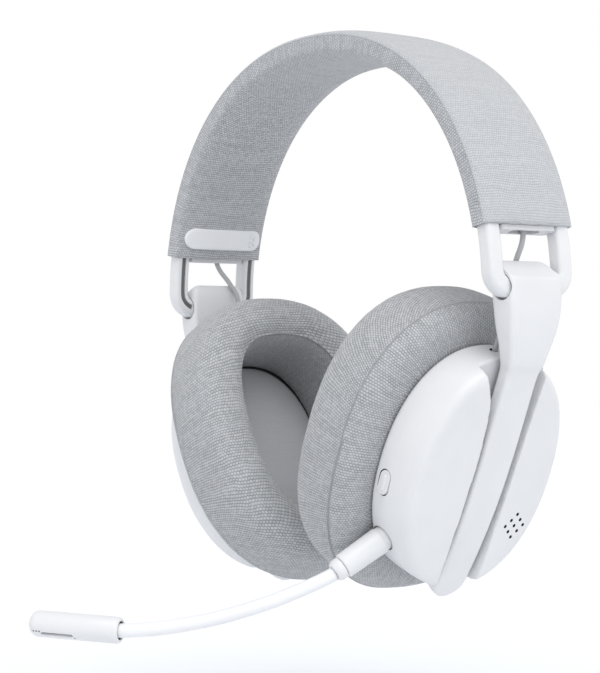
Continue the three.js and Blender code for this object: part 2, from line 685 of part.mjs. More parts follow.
function capsuleShell() {
  const round = stationsBetween(0, 1, 4).map((share) => [
    CAPSULE_RADIUS - 3 + 3 * Math.cos(share * Math.PI / 2),
    CAPSULE_LENGTH - 3 + 3 * Math.sin(share * Math.PI / 2),
  ]);
  return alongCapsule([
    [3.1, 4], [3.5, 4], [3.5, 0.3], [4.1, 0.3], [CAPSULE_RADIUS, 1.2], ...round, [0, CAPSULE_LENGTH],
    [0, CAPSULE_LENGTH - 1.4], [3.1, CAPSULE_LENGTH - 2.6], [3.1, 4],
  ], 18);
}

function capsuleCore() {
  const end = CAPSULE_LENGTH - 3.2;
  return alongCapsule([[0, 4.6], [2.7, 4.6], [2.7, end], [0, end]], 12);
}

// ---------------------------------------------------------------- wires
// Each route starts inside the band, leaves its end plate and enters the top of the cup
const leftWireRoute = [
  [81.2, 0.3, -54], [83.2, 0.3, -62.5], [82.4, 0.3, -68], [79.6, 0.3, -73.5], [77.6, 0, -80],
  [76.6, -0.8, -88], [75.6, -1.8, -94], [73.7, -2.5, -98.6], [71.5, -2.6, -103.2], [69.9, -2.6, -106.6],
].map(([x, y, z]) => point(x, y, z));

const rightWireRoute = [
  [81.2, 0.3, -54], [83.2, 0.6, -62.5], [82.2, 2, -67.6], [79.6, 4.8, -73], [77.4, 7, -79],
  [76.4, 5.8, -87], [75.4, 1.4, -94], [73.6, -1.8, -98.8], [71.5, -2.6, -103.2], [69.9, -2.6, -106.6],
].map(([x, y, z]) => point(x, y, z));

// ---------------------------------------------------------------- the headset
const headset = new THREE.Group();

function add(group, name, geometry, finish) {
  const mesh = new THREE.Mesh(geometry, finish);
  mesh.name = name;
  group.add(mesh);
}

add(headset, 'headband_cover', alongBand(coverOutline, 0, arch.length, BAND_STATIONS), bandFabric);
add(headset, 'headband_cushion', alongBand(cushionOutline, 0, arch.length, BAND_STATIONS), bandFabric);
add(headset, 'headband_core', headbandCore(), darkPlastic);
add(headset, 'headband_spring', headbandSpring(), steel);
add(headset, 'headband_wire', alongBand(() => slab(0.9, -2.5, -0.9), 22, arch.length - 22, 22), wireSkin);

// Left and right sides are mirror images, apart from the wire and the left cup's controls
function addSide(isLeft) {
  const side = isLeft ? 'left' : 'right';
  const group = new THREE.Group();
  group.scale.x = isLeft ? 1 : -1;
  headset.add(group);
  add(group, `${side}_end_plate`, endPlate(), greyPlastic);
  add(group, `${side}_badge`, badge(), white);
  add(group, `${side}_fork`, fork(), white);
  for (const [place, front] of [['front', -1], ['rear', 1]]) {
    add(group, `${side}_${place}_groove_strip`, grooveStrip(front), darkPlastic);
    add(group, `${side}_${place}_pivot_pin`, pivotPin(front), steel);
  }
  add(group, `${side}_arm`, arm(), white);
  add(group, `${side}_arm_cover`, armCover(), white);
  add(group, `${side}_head_wire`, tube(isLeft ? leftWireRoute : rightWireRoute, 0.9, 16), wireSkin);

  const cup = new THREE.Group();
  cup.position.set(CUP_CENTRE.x, CUP_CENTRE.y, CUP_CENTRE.z);
  cup.rotation.y = CUP_TILT;
  group.add(cup);
  add(cup, `${side}_ball_stud`, ballStud(), steel);
  add(cup, `${side}_ball_socket`, ballSocket(), darkPlastic);
  add(cup, `${side}_cup_shell`, cupShell(isLeft), white);
  add(cup, `${side}_baffle`, baffle(), darkPlastic);
  add(cup, `${side}_driver_basket`, driverBasket(), darkPlastic);
  add(cup, `${side}_driver_magnet`, driverMagnet(), steel);
  add(cup, `${side}_baffle_cloth`, baffleCloth(), meshFabric);
  add(cup, `${side}_ear_pad`, earPad(), padFabric);
  return cup;
}

const leftCup = addSide(true);
add(leftCup, 'circuit_board', circuitBoard(), boardGreen);
add(leftCup, 'usb_port', usbPort(), steel);
add(leftCup, 'mode_button', modeButton(), white);
add(leftCup, 'volume_wheel', volumeWheel(), white);
add(leftCup, 'wheel_encoder', wheelEncoder(), darkPlastic);
add(leftCup, 'mic_jack', micJack(), darkPlastic);
add(leftCup, 'mic_base', micBase(), white);
add(leftCup, 'mic_collar', micCollar(), white);
add(headset, 'mic_boom', tube(boomRoute, BOOM_RADIUS, 16, 10), white);
add(headset, 'mic_capsule_shell', capsuleShell(), white);
add(headset, 'mic_capsule_core', capsuleCore(), darkPlastic);

const rightCup = addSide(false);
add(rightCup, 'battery_cell', batteryCell(), cellBlue);

export default headset;
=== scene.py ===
# A white wireless gaming headset with grey fabric: the visual model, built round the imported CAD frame.
# Shapes are worked out in millimetres in the row frame and become metres when a piece is made.
import json
import math

import bmesh
import bpy
import numpy as np
from mathutils import Matrix, Quaternion, Vector


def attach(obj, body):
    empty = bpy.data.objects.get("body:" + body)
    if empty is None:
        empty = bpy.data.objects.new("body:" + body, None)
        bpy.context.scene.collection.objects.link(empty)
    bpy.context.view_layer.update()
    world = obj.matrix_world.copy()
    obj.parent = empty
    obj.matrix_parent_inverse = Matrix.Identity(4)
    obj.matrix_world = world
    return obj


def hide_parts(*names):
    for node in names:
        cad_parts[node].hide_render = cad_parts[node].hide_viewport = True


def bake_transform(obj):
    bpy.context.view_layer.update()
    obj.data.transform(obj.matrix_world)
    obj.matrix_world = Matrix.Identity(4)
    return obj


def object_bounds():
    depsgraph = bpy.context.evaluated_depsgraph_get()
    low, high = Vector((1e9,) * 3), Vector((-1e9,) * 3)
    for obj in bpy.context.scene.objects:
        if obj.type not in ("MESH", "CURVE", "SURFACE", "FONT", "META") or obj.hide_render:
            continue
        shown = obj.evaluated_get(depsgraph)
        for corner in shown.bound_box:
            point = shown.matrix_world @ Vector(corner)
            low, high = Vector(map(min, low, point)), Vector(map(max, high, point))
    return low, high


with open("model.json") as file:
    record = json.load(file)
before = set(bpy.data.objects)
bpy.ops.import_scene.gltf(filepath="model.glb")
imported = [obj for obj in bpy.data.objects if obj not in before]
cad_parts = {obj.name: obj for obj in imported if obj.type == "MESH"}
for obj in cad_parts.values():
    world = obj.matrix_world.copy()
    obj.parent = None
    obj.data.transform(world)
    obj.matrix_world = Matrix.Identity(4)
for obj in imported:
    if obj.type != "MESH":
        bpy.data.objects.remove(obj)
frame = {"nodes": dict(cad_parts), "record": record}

cad_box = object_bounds()
scene = bpy.context.scene
MM = 0.001
joints = {joint["name"]: joint for joint in frame["record"]["behaviour"]["joints"]}

# -- dimensions in millimetres
# They repeat the CAD's, except that the pads are 1 mm taller here and the arms 0.8 mm longer.
ARCH_HALF_WIDTH = 85.6
ARCH_HEIGHT = 95.5
ARCH_POWER = 2.19
ARCH_CENTRE_Z = -89.362
BAND_END_Z = -63
BAND_HALF_WIDTH = 20
RIDGE = 2.9
CROWN = 1.65
CUSHION_BULGE = 3.3
END_TAPER = 26

SLIDE_RADIUS = 93.7
PRONG_Y = 15.75
PRONG_WIDTH = 5.9
PRONG_DEPTH = 5.6
PRONG_TOP = -49.9
GROOVE_TOP = -29
ELBOW_RADIUS = 5.5
BOSS_RADIUS = 3.8

BALL_X = 9
CUP_HALF_WIDTH = 33.2
CUP_HALF_HEIGHT = 41
CUP_DEPTH = 17.3
CUP_POWER = 2.2
WALL = 2
CHANNEL_FLOOR = 12.2
PAD_HALF_WIDTH = 43.7
PAD_HALF_HEIGHT = 52.8
PAD_POWER = 2.35
PAD_DEPTH = 31
PAD_SHIFT_Y = -1.1

ARM_OUTER_X = 19.4
ARM_Y = 1.2
ARM_DEPTH = 5.4
ARM_WIDTH = 14.2
ARM_TOP_Z = 37
ARM_END_Z = -45.8
ARM_CREST_Z = 10
ARM_BOW_RADIUS = 255

MIC_SEAT = (5.4, -27.5, -26.4)
MIC_BASE_RADIUS = 4.5
MIC_BASE_LENGTH = 15.6
MIC_COLLAR_LENGTH = 3.4
BOOM_RADIUS = 2.3
CAPSULE_RADIUS = 4.3
CAPSULE_LENGTH = 31
WIRE_RADIUS = 0.9

LEAST_RADIUS = 0.02

# -- frames, read from the joints
swivel = joints["left_cup_swivel"]
CUP_UP = Vector(swivel["axis"]).normalized()
CUP_OUT = Vector((CUP_UP.z, 0, -CUP_UP.x))
CUP_CENTRE = Vector(swivel["pos_m"]) / MM - BALL_X * CUP_OUT - Vector((0, ARM_Y, 0))
SLIDE_CENTRE = Vector(joints["left_slide"]["pos_m"]) / MM
PIVOT = Vector(joints["left_arm_tilt"]["pos_m"]) / MM
MIC_DIRECTION = Vector(joints["microphone_unplug"]["axis"]).normalized()


def from_cup(x, y, z):
    """Turns a point of the left cup's frame into the row frame, in millimetres."""
    return CUP_CENTRE + float(x) * CUP_OUT + Vector((0, y, 0)) + float(z) * CUP_UP


# -- curves
def smooth_curve(points, count):
    """Points evenly spread along a Catmull-Rom curve through the given points of any dimension."""
    keys = np.asarray(points, float)
    keys = np.vstack([2 * keys[0] - keys[1], keys, 2 * keys[-1] - keys[-2]])
    fine = []
    for a, b, c, d in zip(keys, keys[1:], keys[2:], keys[3:]):
        for t in np.linspace(0, 1, 24, endpoint=False):
            fine.append(0.5 * (2 * b + (c - a) * t + (2 * a - 5 * b + 4 * c - d) * t ** 2
                               + (3 * b - a - 3 * c + d) * t ** 3))
    fine.append(keys[-2])
    fine = np.array(fine)
    return resample(fine, np.linspace(0, lengths_of(fine)[-1], count))


def lengths_of(points):
    steps = np.linalg.norm(np.diff(points, axis=0), axis=1)
    return np.concatenate([[0], np.cumsum(steps)])


def resample(points, at):
    lengths = lengths_of(points)
    return np.stack([np.interp(at, lengths, column) for column in points.T], axis=1)


def superellipse(half_width, half_height, power, count):
    """An oval whose corners are fuller the higher its power is over 2."""
    angle = np.arange(count) / count * 2 * np.pi
    circle = np.stack([np.cos(angle), np.sin(angle)], axis=1)
    return np.sign(circle) * np.abs(circle) ** (2 / power) * (half_width, half_height)


def rounded_rect(width, height, radius, steps=6):
    outline = []
    for quarter, (right, up) in enumerate([(1, 1), (-1, 1), (-1, -1), (1, -1)]):
        for i in range(steps + 1):
            angle = (quarter + i / steps) * math.pi / 2
            outline.append((right * (width / 2 - radius) + radius * math.cos(angle),
                            up * (height / 2 - radius) + radius * math.sin(angle)))
    return np.array(outline)


def resampled_loop(outline, count):
    """A closed outline with its points spread evenly."""
    closed = np.vstack([outline, outline[:1]])
    return resample(closed, np.arange(count) / count * lengths_of(closed)[-1])


# -- meshes
def shown(name, data):
    """A new object in the scene."""
    thing = bpy.data.objects.new(name, data)
    scene.collection.objects.link(thing)
    return thing


def make_piece(name, points, faces, weave=None, finish=None):
    """An object from points in millimetres, with its faces turned outwards. weave is the place on the
    cloth of each corner of each face, in millimetres, and finish the material index of each face."""
    mesh = bpy.data.meshes.new(name)
    mesh.from_pydata((np.asarray(points, float) * MM).tolist(), [], faces)
    if weave is not None:
        layer = mesh.uv_layers.new(name="weave")
        layer.data.foreach_set("uv", np.asarray(weave, np.float32).ravel())
    if finish is not None:
        mesh.polygons.foreach_set("material_index", np.asarray(finish, np.int32))
    body = bmesh.new()
    body.from_mesh(mesh)
    bmesh.ops.recalc_face_normals(body, faces=body.faces)
    body.to_mesh(mesh)
    body.free()
    mesh.polygons.foreach_set("use_smooth", [True] * len(mesh.polygons))
    return shown(name, mesh)


def swept(name, rows, looped=False, weave=None, finish=None):
    """A closed body through rings of points. weave and finish go by ring and point too, and weave is one
    longer each way, because a cloth doesn't close on itself."""
    rows = np.asarray(rows, float)
    count, size = rows.shape[:2]
    faces, corners, kinds = [], [], []
    for i in range(count if looped else count - 1):
        a, b = i * size, (i + 1) % count * size
        for j in range(size):
            k = (j + 1) % size
            faces.append((a + j, a + k, b + k, b + j))
            if weave is not None:
                corners += [weave[i][j], weave[i][j + 1], weave[i + 1][j + 1], weave[i + 1][j]]
            if finish is not None:
                kinds.append(finish[i][j])
    if not looped:
        faces += [tuple(range(size)), tuple(range((count - 1) * size, count * size))]
        for end in (0, count - 1):
            if weave is not None:
                corners += [weave[end][j] for j in range(size)]
            if finish is not None:
                kinds.append(finish[min(end, count - 2)][0])
    return make_piece(name, rows.reshape(-1, 3), faces, corners if weave is not None else None,
                      kinds if finish is not None else None)


def applied(piece):
    """Replaces a piece's mesh by what its modifiers make of it."""
    graph = bpy.context.evaluated_depsgraph_get()
    mesh = bpy.data.meshes.new_from_object(piece.evaluated_get(graph), depsgraph=graph)
    piece.modifiers.clear()
    piece.data = mesh
    return piece


def carve(piece, *cutters, operation="DIFFERENCE"):
    """Cuts bodies out of a piece, or joins them to it, and removes them."""
    for cutter in cutters:
        modifier = piece.modifiers.new("carve", "BOOLEAN")
        modifier.operation = operation
        modifier.object = cutter
        modifier.solver = "EXACT"
    applied(piece)
    for cutter in cutters:
        bpy.data.objects.remove(cutter)
    return piece


def joined(name, *pieces):
    """One object holding the meshes of several."""
    body = bmesh.new()
    for piece in pieces:
        body.from_mesh(piece.data)
    mesh = bpy.data.meshes.new(name)
    body.to_mesh(mesh)
    body.free()
    for piece in pieces:
        bpy.data.objects.remove(piece)
    return shown(name, mesh)


def soften(piece, voxel, rounds):
    """Rounds every edge of a moulded body a little: a fine remesh, then smoothing."""
    remesh = piece.modifiers.new("remesh", "REMESH")
    remesh.mode = "VOXEL"
    remesh.voxel_size = voxel * MM
    remesh.use_smooth_shade = True
    smooth = piece.modifiers.new("smooth", "SMOOTH")
    smooth.factor = 0.5
    smooth.iterations = rounds
    return applied(piece)


def crease(piece, degrees=35):
    """Smooth shading that breaks at sharp edges."""
    piece.data.polygons.foreach_set("use_smooth", [True] * len(piece.data.polygons))
    piece.data.set_sharp_from_angle(angle=math.radians(degrees))
    return piece


def mirrored(piece, name):
    """A copy of a left piece for the right side."""
    mesh = piece.data.copy()
    mesh.transform(Matrix.Scale(-1, 4, (1, 0, 0)))
    mesh.flip_normals()
    return shown(name, mesh)


def ring_of(middle, across, over, radius, sides):
    angles = np.arange(sides) / sides * 2 * np.pi
    return middle + radius * (np.outer(np.cos(angles), across) + np.outer(np.sin(angles), over))


def turned(name, profile, start, direction, sides=48):
    """A turned body: profile points are (radius, distance along direction from start)."""
    axis = Vector(direction).normalized()
    turn = Vector((0, 0, 1)).rotation_difference(axis)
    across, over = turn @ Vector((1, 0, 0)), turn @ Vector((0, 1, 0))
    return swept(name, [
        ring_of(np.array(Vector(start) + along * axis), across, over, max(radius, LEAST_RADIUS), sides)
        for radius, along in profile
    ])


def rod(start, end, radius, sides=32):
    start, end = Vector(start), Vector(end)
    return turned("rod", [(radius, 0), (radius, (end - start).length)], start, end - start, sides)


def tube(name, route, radius, count, sides=24):
    """A round tube along a smooth curve, with its sections kept from twisting."""
    middle = smooth_curve(route, count)
    tangents = np.gradient(middle, axis=0)
    across = Vector((0, 1, 0)).cross(Vector(tangents[0])).normalized()
    rows = []
    for point, tangent in zip(middle, tangents):
        ahead = Vector(tangent).normalized()
        across = (across - across.dot(ahead) * ahead).normalized()
        rows.append(ring_of(point, across, ahead.cross(across), radius, sides))
    return swept(name, rows)


# -- cloth
def coordinates(mesh):
    places = np.empty(len(mesh.vertices) * 3)
    mesh.vertices.foreach_get("co", places)
    return places.reshape(-1, 3)


def swell(piece, held, cap, pressure=4, frames=20):
    """Swells a closed fabric piece with Cloth. held is a weight per point that keeps it in place, and cap
    is the furthest that a point may move, in millimetres."""
    rest = coordinates(piece.data)
    group = piece.vertex_groups.new(name="held")
    for index, weight in enumerate(held):
        if weight > 0:
            group.add([index], float(weight), "REPLACE")
    cloth = piece.modifiers.new("cloth", "CLOTH")
    cloth.point_cache.frame_start = 1
    cloth.point_cache.frame_end = frames
    settings = cloth.settings
    settings.quality = 5
    settings.mass = 0.3
    settings.use_pressure = True
    settings.uniform_pressure_force = pressure
    settings.vertex_group_mass = "held"
    settings.effector_weights.gravity = 0
    for number in range(1, frames + 1):
        scene.frame_set(number)
    graph = bpy.context.evaluated_depsgraph_get()
    shift = coordinates(piece.evaluated_get(graph).to_mesh()) - rest
    piece.evaluated_get(graph).to_mesh_clear()
    piece.modifiers.clear()
    piece.vertex_groups.clear()
    scene.frame_set(1)
    far = np.linalg.norm(shift, axis=1, keepdims=True)
    share = np.minimum(1, cap * MM / np.maximum(far, 1e-9))
    piece.data.vertices.foreach_set("co", (rest + shift * share).ravel())
    piece.data.update()


def subdivide(piece):
    modifier = piece.modifiers.new("subdivision", "SUBSURF")
    modifier.levels = modifier.render_levels = 1
    return applied(piece)


# -- materials
def feed(tree, socket, value):
    if isinstance(value, bpy.types.NodeSocket):
        tree.links.new(value, socket)
    else:
        socket.default_value = value


def maths(tree, operation, *values):
    node = tree.nodes.new("ShaderNodeMath")
    node.operation = operation
    for socket, value in zip(node.inputs, values):
        feed(tree, socket, value)
    return node.outputs[0]


def blended(tree, share, first, second):
    """A mix of two colours."""
    node = tree.nodes.new("ShaderNodeMix")
    node.data_type = "RGBA"
    for index, value in ((0, share), (6, first), (7, second)):  # its sockets for colours
        feed(tree, node.inputs[index], value)
    return node.outputs[2]


def ranged(tree, value, low, high, to_low=0.0, to_high=1.0):
    node = tree.nodes.new("ShaderNodeMapRange")
    for socket, number in zip(node.inputs, (value, low, high, to_low, to_high)):
        feed(tree, socket, number)
    return node.outputs[0]


def noise(tree, scale, detail=3, where=None):
    """Noise over the object's own coordinates, which are metres in the row frame."""
    if where is None:
        where = tree.nodes.new("ShaderNodeTexCoord").outputs["Object"]
    node = tree.nodes.new("ShaderNodeTexNoise")
    tree.links.new(where, node.inputs["Vector"])
    node.inputs["Scale"].default_value = scale
    node.inputs["Detail"].default_value = detail
    return node.outputs["Fac"]


def bumped(tree, shader, height, distance, strength=1.0):
    """Relief on a shader: distance is how far a height of 1 stands up, in millimetres."""
    node = tree.nodes.new("ShaderNodeBump")
    node.inputs["Strength"].default_value = strength
    node.inputs["Distance"].default_value = distance * MM
    tree.links.new(height, node.inputs["Height"])
    tree.links.new(node.outputs[0], shader.inputs["Normal"])


def new_material(name, **settings):
    """A material with its constants set on the shader's own sockets."""
    material = bpy.data.materials.new(name)
    material.use_nodes = True
    shader = material.node_tree.nodes["Principled BSDF"]
    for socket, value in settings.items():
        shader.inputs[socket.replace("_", " ")].default_value = value
    return material, material.node_tree, shader


def grey(level, warmth=0.0):
    """A cool grey of that level."""
    return (level * (0.975 + warmth), level, level * (1.035 - warmth), 1)


def moulded(name, level, roughness, grain=0.02):
    """Moulded plastic: a fine satin grain, slightly uneven gloss and a faint drift in colour."""
    material, tree, shader = new_material(name, Roughness=roughness, IOR=1.46)
    drift = ranged(tree, noise(tree, 55), 0.3, 0.7)
    colour = blended(tree, drift, grey(level * 0.97, 0.015), grey(level * 1.01, 0.015))
    tree.links.new(colour, shader.inputs["Base Color"])
    gloss = ranged(tree, noise(tree, 160, 4), 0.3, 0.7, roughness - 0.05, roughness + 0.05)
    tree.links.new(gloss, shader.inputs["Roughness"])
    bumped(tree, shader, noise(tree, 2600, 2), grain)
    return material


def woven(name, light, dark, pitch, relief, fleck):
    """Cloth of short floats laid like bricks: pitch is the length of a float and the height of a row in
    millimetres. Each float differs a little in colour, and the gaps between them are darker."""
    material, tree, shader = new_material(name, Roughness=0.92, Sheen_Weight=0.2, Sheen_Roughness=0.5)

    def calc(operation, *values):
        return maths(tree, operation, *values)

    def pair(first, second):
        node = tree.nodes.new("ShaderNodeCombineXYZ")
        tree.links.new(first, node.inputs[0])
        tree.links.new(second, node.inputs[1])
        return node.outputs[0]

    place = tree.nodes.new("ShaderNodeUVMap")
    place.uv_map = "weave"
    split = tree.nodes.new("ShaderNodeSeparateXYZ")
    tree.links.new(place.outputs[0], split.inputs[0])
    sway = calc("MULTIPLY", noise(tree, 0.09, 2, place.outputs[0]), 2.4)
    along = calc("DIVIDE", calc("ADD", split.outputs[1], sway), pitch[1])
    row = calc("FLOOR", along)
    offset = calc("MULTIPLY", calc("ABSOLUTE", calc("MODULO", row, 2.0)), 0.5)
    across = calc("ADD", calc("DIVIDE", split.outputs[0], pitch[0]), offset)
    column = calc("FLOOR", across)
    lengthwise = calc("SUBTRACT", calc("FRACT", across), 0.5)
    upright = calc("SUBTRACT", calc("FRACT", along), 0.5)
    flat = calc("SUBTRACT", 1.0, calc("MULTIPLY", calc("POWER", lengthwise, 4.0), 14.0))
    rounded = calc("SUBTRACT", 1.0, calc("MULTIPLY", calc("POWER", upright, 2.0), 3.4))
    height = calc("MULTIPLY", flat, rounded)
    random = tree.nodes.new("ShaderNodeTexWhiteNoise")
    tree.links.new(pair(column, row), random.inputs["Vector"])
    uneven = ranged(tree, random.outputs["Value"], 0, 1, -fleck, fleck)
    streaks = pair(calc("MULTIPLY", split.outputs[0], 0.035), calc("MULTIPLY", row, 0.9))
    drift = ranged(tree, noise(tree, 1, 1, streaks), 0.3, 0.7, -0.12, 0.12)
    share = calc("ADD", ranged(tree, height, 0.15, 1.0), calc("ADD", uneven, drift))
    share.node.use_clamp = True
    tree.links.new(blended(tree, share, dark, light), shader.inputs["Base Color"])
    fuzz = calc("MULTIPLY", noise(tree, 5200, 2), 0.3)
    bumped(tree, shader, calc("ADD", height, fuzz), relief, 0.8)
    return material


def tinted(name, first, second, roughness, metallic=0.0, scales=(220, 1500), grain=0.02):
    """A plain surface of two near colours. scales are those of its colour and of its grain."""
    material, tree, shader = new_material(name, Roughness=roughness, Metallic=metallic)
    tree.links.new(blended(tree, noise(tree, scales[0], 4), first, second), shader.inputs["Base Color"])
    bumped(tree, shader, noise(tree, scales[1], 2), grain)
    return material


white = moulded("white plastic", 0.73, 0.36)
white_rubber = moulded("white rubber", 0.8, 0.42)
light_grey = moulded("light grey plastic", 0.66, 0.45)
dark_plastic_and_painted_shade = moulded("dark grey plastic and painted shade", 0.05, 0.55)
groove_plastic_and_painted_shade = moulded("groove grey plastic and painted shade", 0.14, 0.6)
sleeve_grey_and_painted_shade = moulded("wire sleeve", 0.44, 0.55, 0.03)
steel = tinted("ground steel", grey(0.54), grey(0.6), 0.3, 1.0, (300, 3000), 0.01)
board_green = tinted("green board", (0.02, 0.12, 0.06, 1), (0.03, 0.16, 0.08, 1), 0.4)
cell_blue = tinted("blue cell wrap", (0.08, 0.17, 0.34, 1), (0.11, 0.22, 0.4, 1), 0.35)
band_outer = woven("band outer cloth", grey(0.55), grey(0.39), (1.0, 0.82), 0.09, 0.14)
band_inner = woven("band ribbed cloth", grey(0.55), grey(0.28), (1.05, 0.9), 0.13, 0.18)
pad_front = woven("pad front cloth", grey(0.48), grey(0.30), (0.95, 0.8), 0.1, 0.16)
pad_side = woven("pad side cloth", grey(0.52), grey(0.24), (1.05, 0.92), 0.14, 0.18)
pad_inner = woven("pad inner cloth", grey(0.52), grey(0.22), (1.05, 0.92), 0.14, 0.18)
seam_thread = tinted("seam thread", grey(0.2), grey(0.27), 0.95)
driver_cloth = woven("driver cloth", grey(0.50), grey(0.42), (0.6, 0.5), 0.05, 0.1)


# -- finishing pieces
def finished(piece, body, slot, finishes, *nodes):
    """Gives a piece its materials and its body, and hides the CAD nodes it stands for; slot is not used. The
    clearing sets every face back to the first material, so only indices set after this call last."""
    piece.data.materials.clear()
    for material in finishes:
        piece.data.materials.append(material)
    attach(piece, body)
    if nodes:
        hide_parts(*nodes)
    return piece


def finished_pair(left, body, slot, finishes, node):
    """Finishes a left piece and its mirror image; {} stands for the side."""
    right = mirrored(left, left.name.replace("left_", "right_", 1))
    for side, piece in (("left", left), ("right", right)):
        finished(piece, body.format(side), slot, finishes, node.format(side))


# -- headband
END_ROUND_LENGTH = 0.9
BADGE_FROM_END = 8.2
BADGE_LENGTH = 35.5
BADGE_RADIUS = 4.2
BADGE_FULLNESS = CUSHION_BULGE - 0.85
BADGE_DOTS = [(12.4, 2.1), (14.2, 1.3), (12.1, 0.1), (14.1, -0.9), (12.2, -2.1)]


def arch_samples():
    """Points (x, height) along the band's middle line, from its right end to its left end."""
    rise = (BAND_END_Z - ARCH_CENTRE_Z) / ARCH_HEIGHT
    last = math.acos(rise ** (ARCH_POWER / 2))
    angle = np.linspace(-last, last, 1601)
    sine = np.sin(angle)
    x = ARCH_HALF_WIDTH * np.sign(sine) * np.abs(sine) ** (2 / ARCH_POWER)
    height = ARCH_HEIGHT * np.cos(angle) ** (2 / ARCH_POWER)
    return np.stack([x, height], axis=1)


ARCH = arch_samples()
ARCH_LENGTHS = lengths_of(ARCH)
BAND_LENGTH = ARCH_LENGTHS[-1]


def band_point(along, y, out):
    """A point of the band: along is the length from the right end, out the height over the middle line."""
    target = min(max(along, 0), BAND_LENGTH)
    x = float(np.interp(target, ARCH_LENGTHS, ARCH[:, 0]))
    height = float(np.interp(target, ARCH_LENGTHS, ARCH[:, 1]))
    normal = Vector((
        math.copysign((abs(x) / ARCH_HALF_WIDTH) ** (ARCH_POWER - 1) / ARCH_HALF_WIDTH, x),
        (height / ARCH_HEIGHT) ** (ARCH_POWER - 1) / ARCH_HEIGHT,
    )).normalized()
    beyond = along - target
    return (x + out * normal.x + beyond * normal.y, y,
            ARCH_CENTRE_Z + height + out * normal.y - beyond * normal.x)


def band_stations():
    """Stations along the band, with a few close ones that round its cut ends."""
    ends = np.array([0, 0.12, 0.4, END_ROUND_LENGTH])
    return np.concatenate([ends, np.linspace(2.2, BAND_LENGTH - 2.2, 130), BAND_LENGTH - ends[::-1]])


def end_round(along):
    """How far the fabric has rounded off at a distance from a cut end."""
    near = min(along, BAND_LENGTH - along)
    return 0.5 * max(0, 1 - near / END_ROUND_LENGTH) ** 2


def band_piece(name, outline_at):
    """Sweeps an outline of (y, out) along the band and lays the cloth on it. Returns the piece, and how
    many stations and how many points round it has."""
    stations = band_stations()
    outlines = [np.array(outline_at(along)) for along in stations]
    rows = [[band_point(along, y, out) for y, out in outline] for along, outline in zip(stations, outlines)]
    halfway = outlines[len(outlines) // 2]
    around = lengths_of(np.vstack([halfway, halfway[:1]]))
    weave = [[(u, along) for u in around] for along in stations]
    return swept(name, rows, weave=weave), (len(stations), len(outlines[0]))


def bulge_at(y, bulge):
    return RIDGE + bulge * (1 - abs(y / BAND_HALF_WIDTH) ** 4)


def cover_outline(along):
    """The outer cloth: crowned on top, rolled under at the two ridges."""
    top = [(y, bulge_at(y, CROWN) + 0.1 - end_round(along)) for y in np.linspace(-19.5, 19.5, 31)]
    roll = [(19.9, 2.72), (20.05, 2.4), (19.9, 2.1), (19, 2.2)]
    return top + roll + [(-y, out) for y, out in reversed(roll)]


def cushion_outline(along):
    """The inner cloth: up both side walls to the ridges, and bulging under the band. It is hollow inside."""
    near = min(along, BAND_LENGTH - along)
    share = min(1, near / END_TAPER)
    fade = share * share * (3 - 2 * share)
    bulge = CUSHION_BULGE - 1.3 * (1 - fade)
    under = [(y, end_round(along) - bulge_at(y, bulge)) for y in np.linspace(-19.3, 19.3, 27)]
    wall = [(19.75, -2.95), (19.95, -2.5), (20, -1.6), (20, -0.4), (20, 0.8), (20, 1.8), (19.85, 2.3)]
    inside = [(19.3, 2.35), (19.1, 1.5), (19.1, -2.9), (18, -3.05), (0, -3.05)]
    half = wall + inside
    return under + half + [(-y, out) for y, out in reversed(half[:-1])]


def headband():
    cover, _ = band_piece("band_outer_cloth", cover_outline)
    finished(cover, "headband", "band_fabric", [band_outer], "headband_cover")
    cushion, grid = band_piece("band_cushion_cloth", cushion_outline)
    underside, walls = slice(2, 25), (slice(29, 33), slice(-7, -3))
    held = np.ones(grid)
    held[4:-4, underside] = 0
    for wall in walls:
        held[4:-4, wall] = 0.4
    swell(cushion, held.ravel(), cap=0.7)
    finished(cushion, "headband", "band_fabric", [band_inner], "headband_cushion")


def badge_out(y, rise):
    return -bulge_at(y, BADGE_FULLNESS) - rise


def badge():
    """The pill on the inside of each band end, with raised dots that tell the sides apart by touch."""
    middle = BAND_LENGTH - BADGE_FROM_END
    rings = [(0, 0), (0, 0.5), (0.14, 0.72), (0.4, 0.86), (0.9, 0.92), (2, 0.94), (3.6, 0.95), (4.1, 0.95)]
    rows = []
    for inset, rise in rings:
        radius = max(BADGE_RADIUS - inset, 0.06)
        pill_outline = rounded_rect(BADGE_LENGTH - 2 * inset, 2 * radius, radius - 0.005, 10)
        outline = resampled_loop(pill_outline, 160)
        rows.append([band_point(middle + along, y, badge_out(y, rise)) for y, along in outline])
    pill = swept("pill", rows)
    inward = Vector(band_point(middle, 0, -7)) - Vector(band_point(middle, 0, -5))
    profile = [(0.72, 0), (0.7, 0.25), (0.55, 0.45), (0.3, 0.52), (0, 0.55)]
    dots = [turned("dot", profile, band_point(middle + along, y, badge_out(y, 0.88)), inward, 16)
            for y, along in BADGE_DOTS]
    plain_faces = len(pill.data.polygons)
    whole = joined("left_side_badge", pill, *dots)
    # Painted shade: the raised dots take the second, grey material in place of the shading round them.
    for face in whole.data.polygons[plain_faces:]:
        face.material_index = 1
    crease(whole, 50)
    finishes = [white_rubber, sleeve_grey_and_painted_shade]
    finished_pair(whole, "headband", "white_plastic", finishes, "{}_badge")


# -- forks
def slide_point(down, y, out):
    """A point of the slide arc: down is the length below the pivot's level, out is across the arc."""
    start = math.asin((PIVOT.z - SLIDE_CENTRE.z) / SLIDE_RADIUS)
    angle = start - down / SLIDE_RADIUS
    radius = SLIDE_RADIUS + out
    return (SLIDE_CENTRE.x + radius * math.cos(angle), y, SLIDE_CENTRE.z + radius * math.sin(angle))


GROOVE_END_TURN = 1.36  # how far round the elbow the groove reaches, in radians
FOOT_Y = (9.9, 9.5)


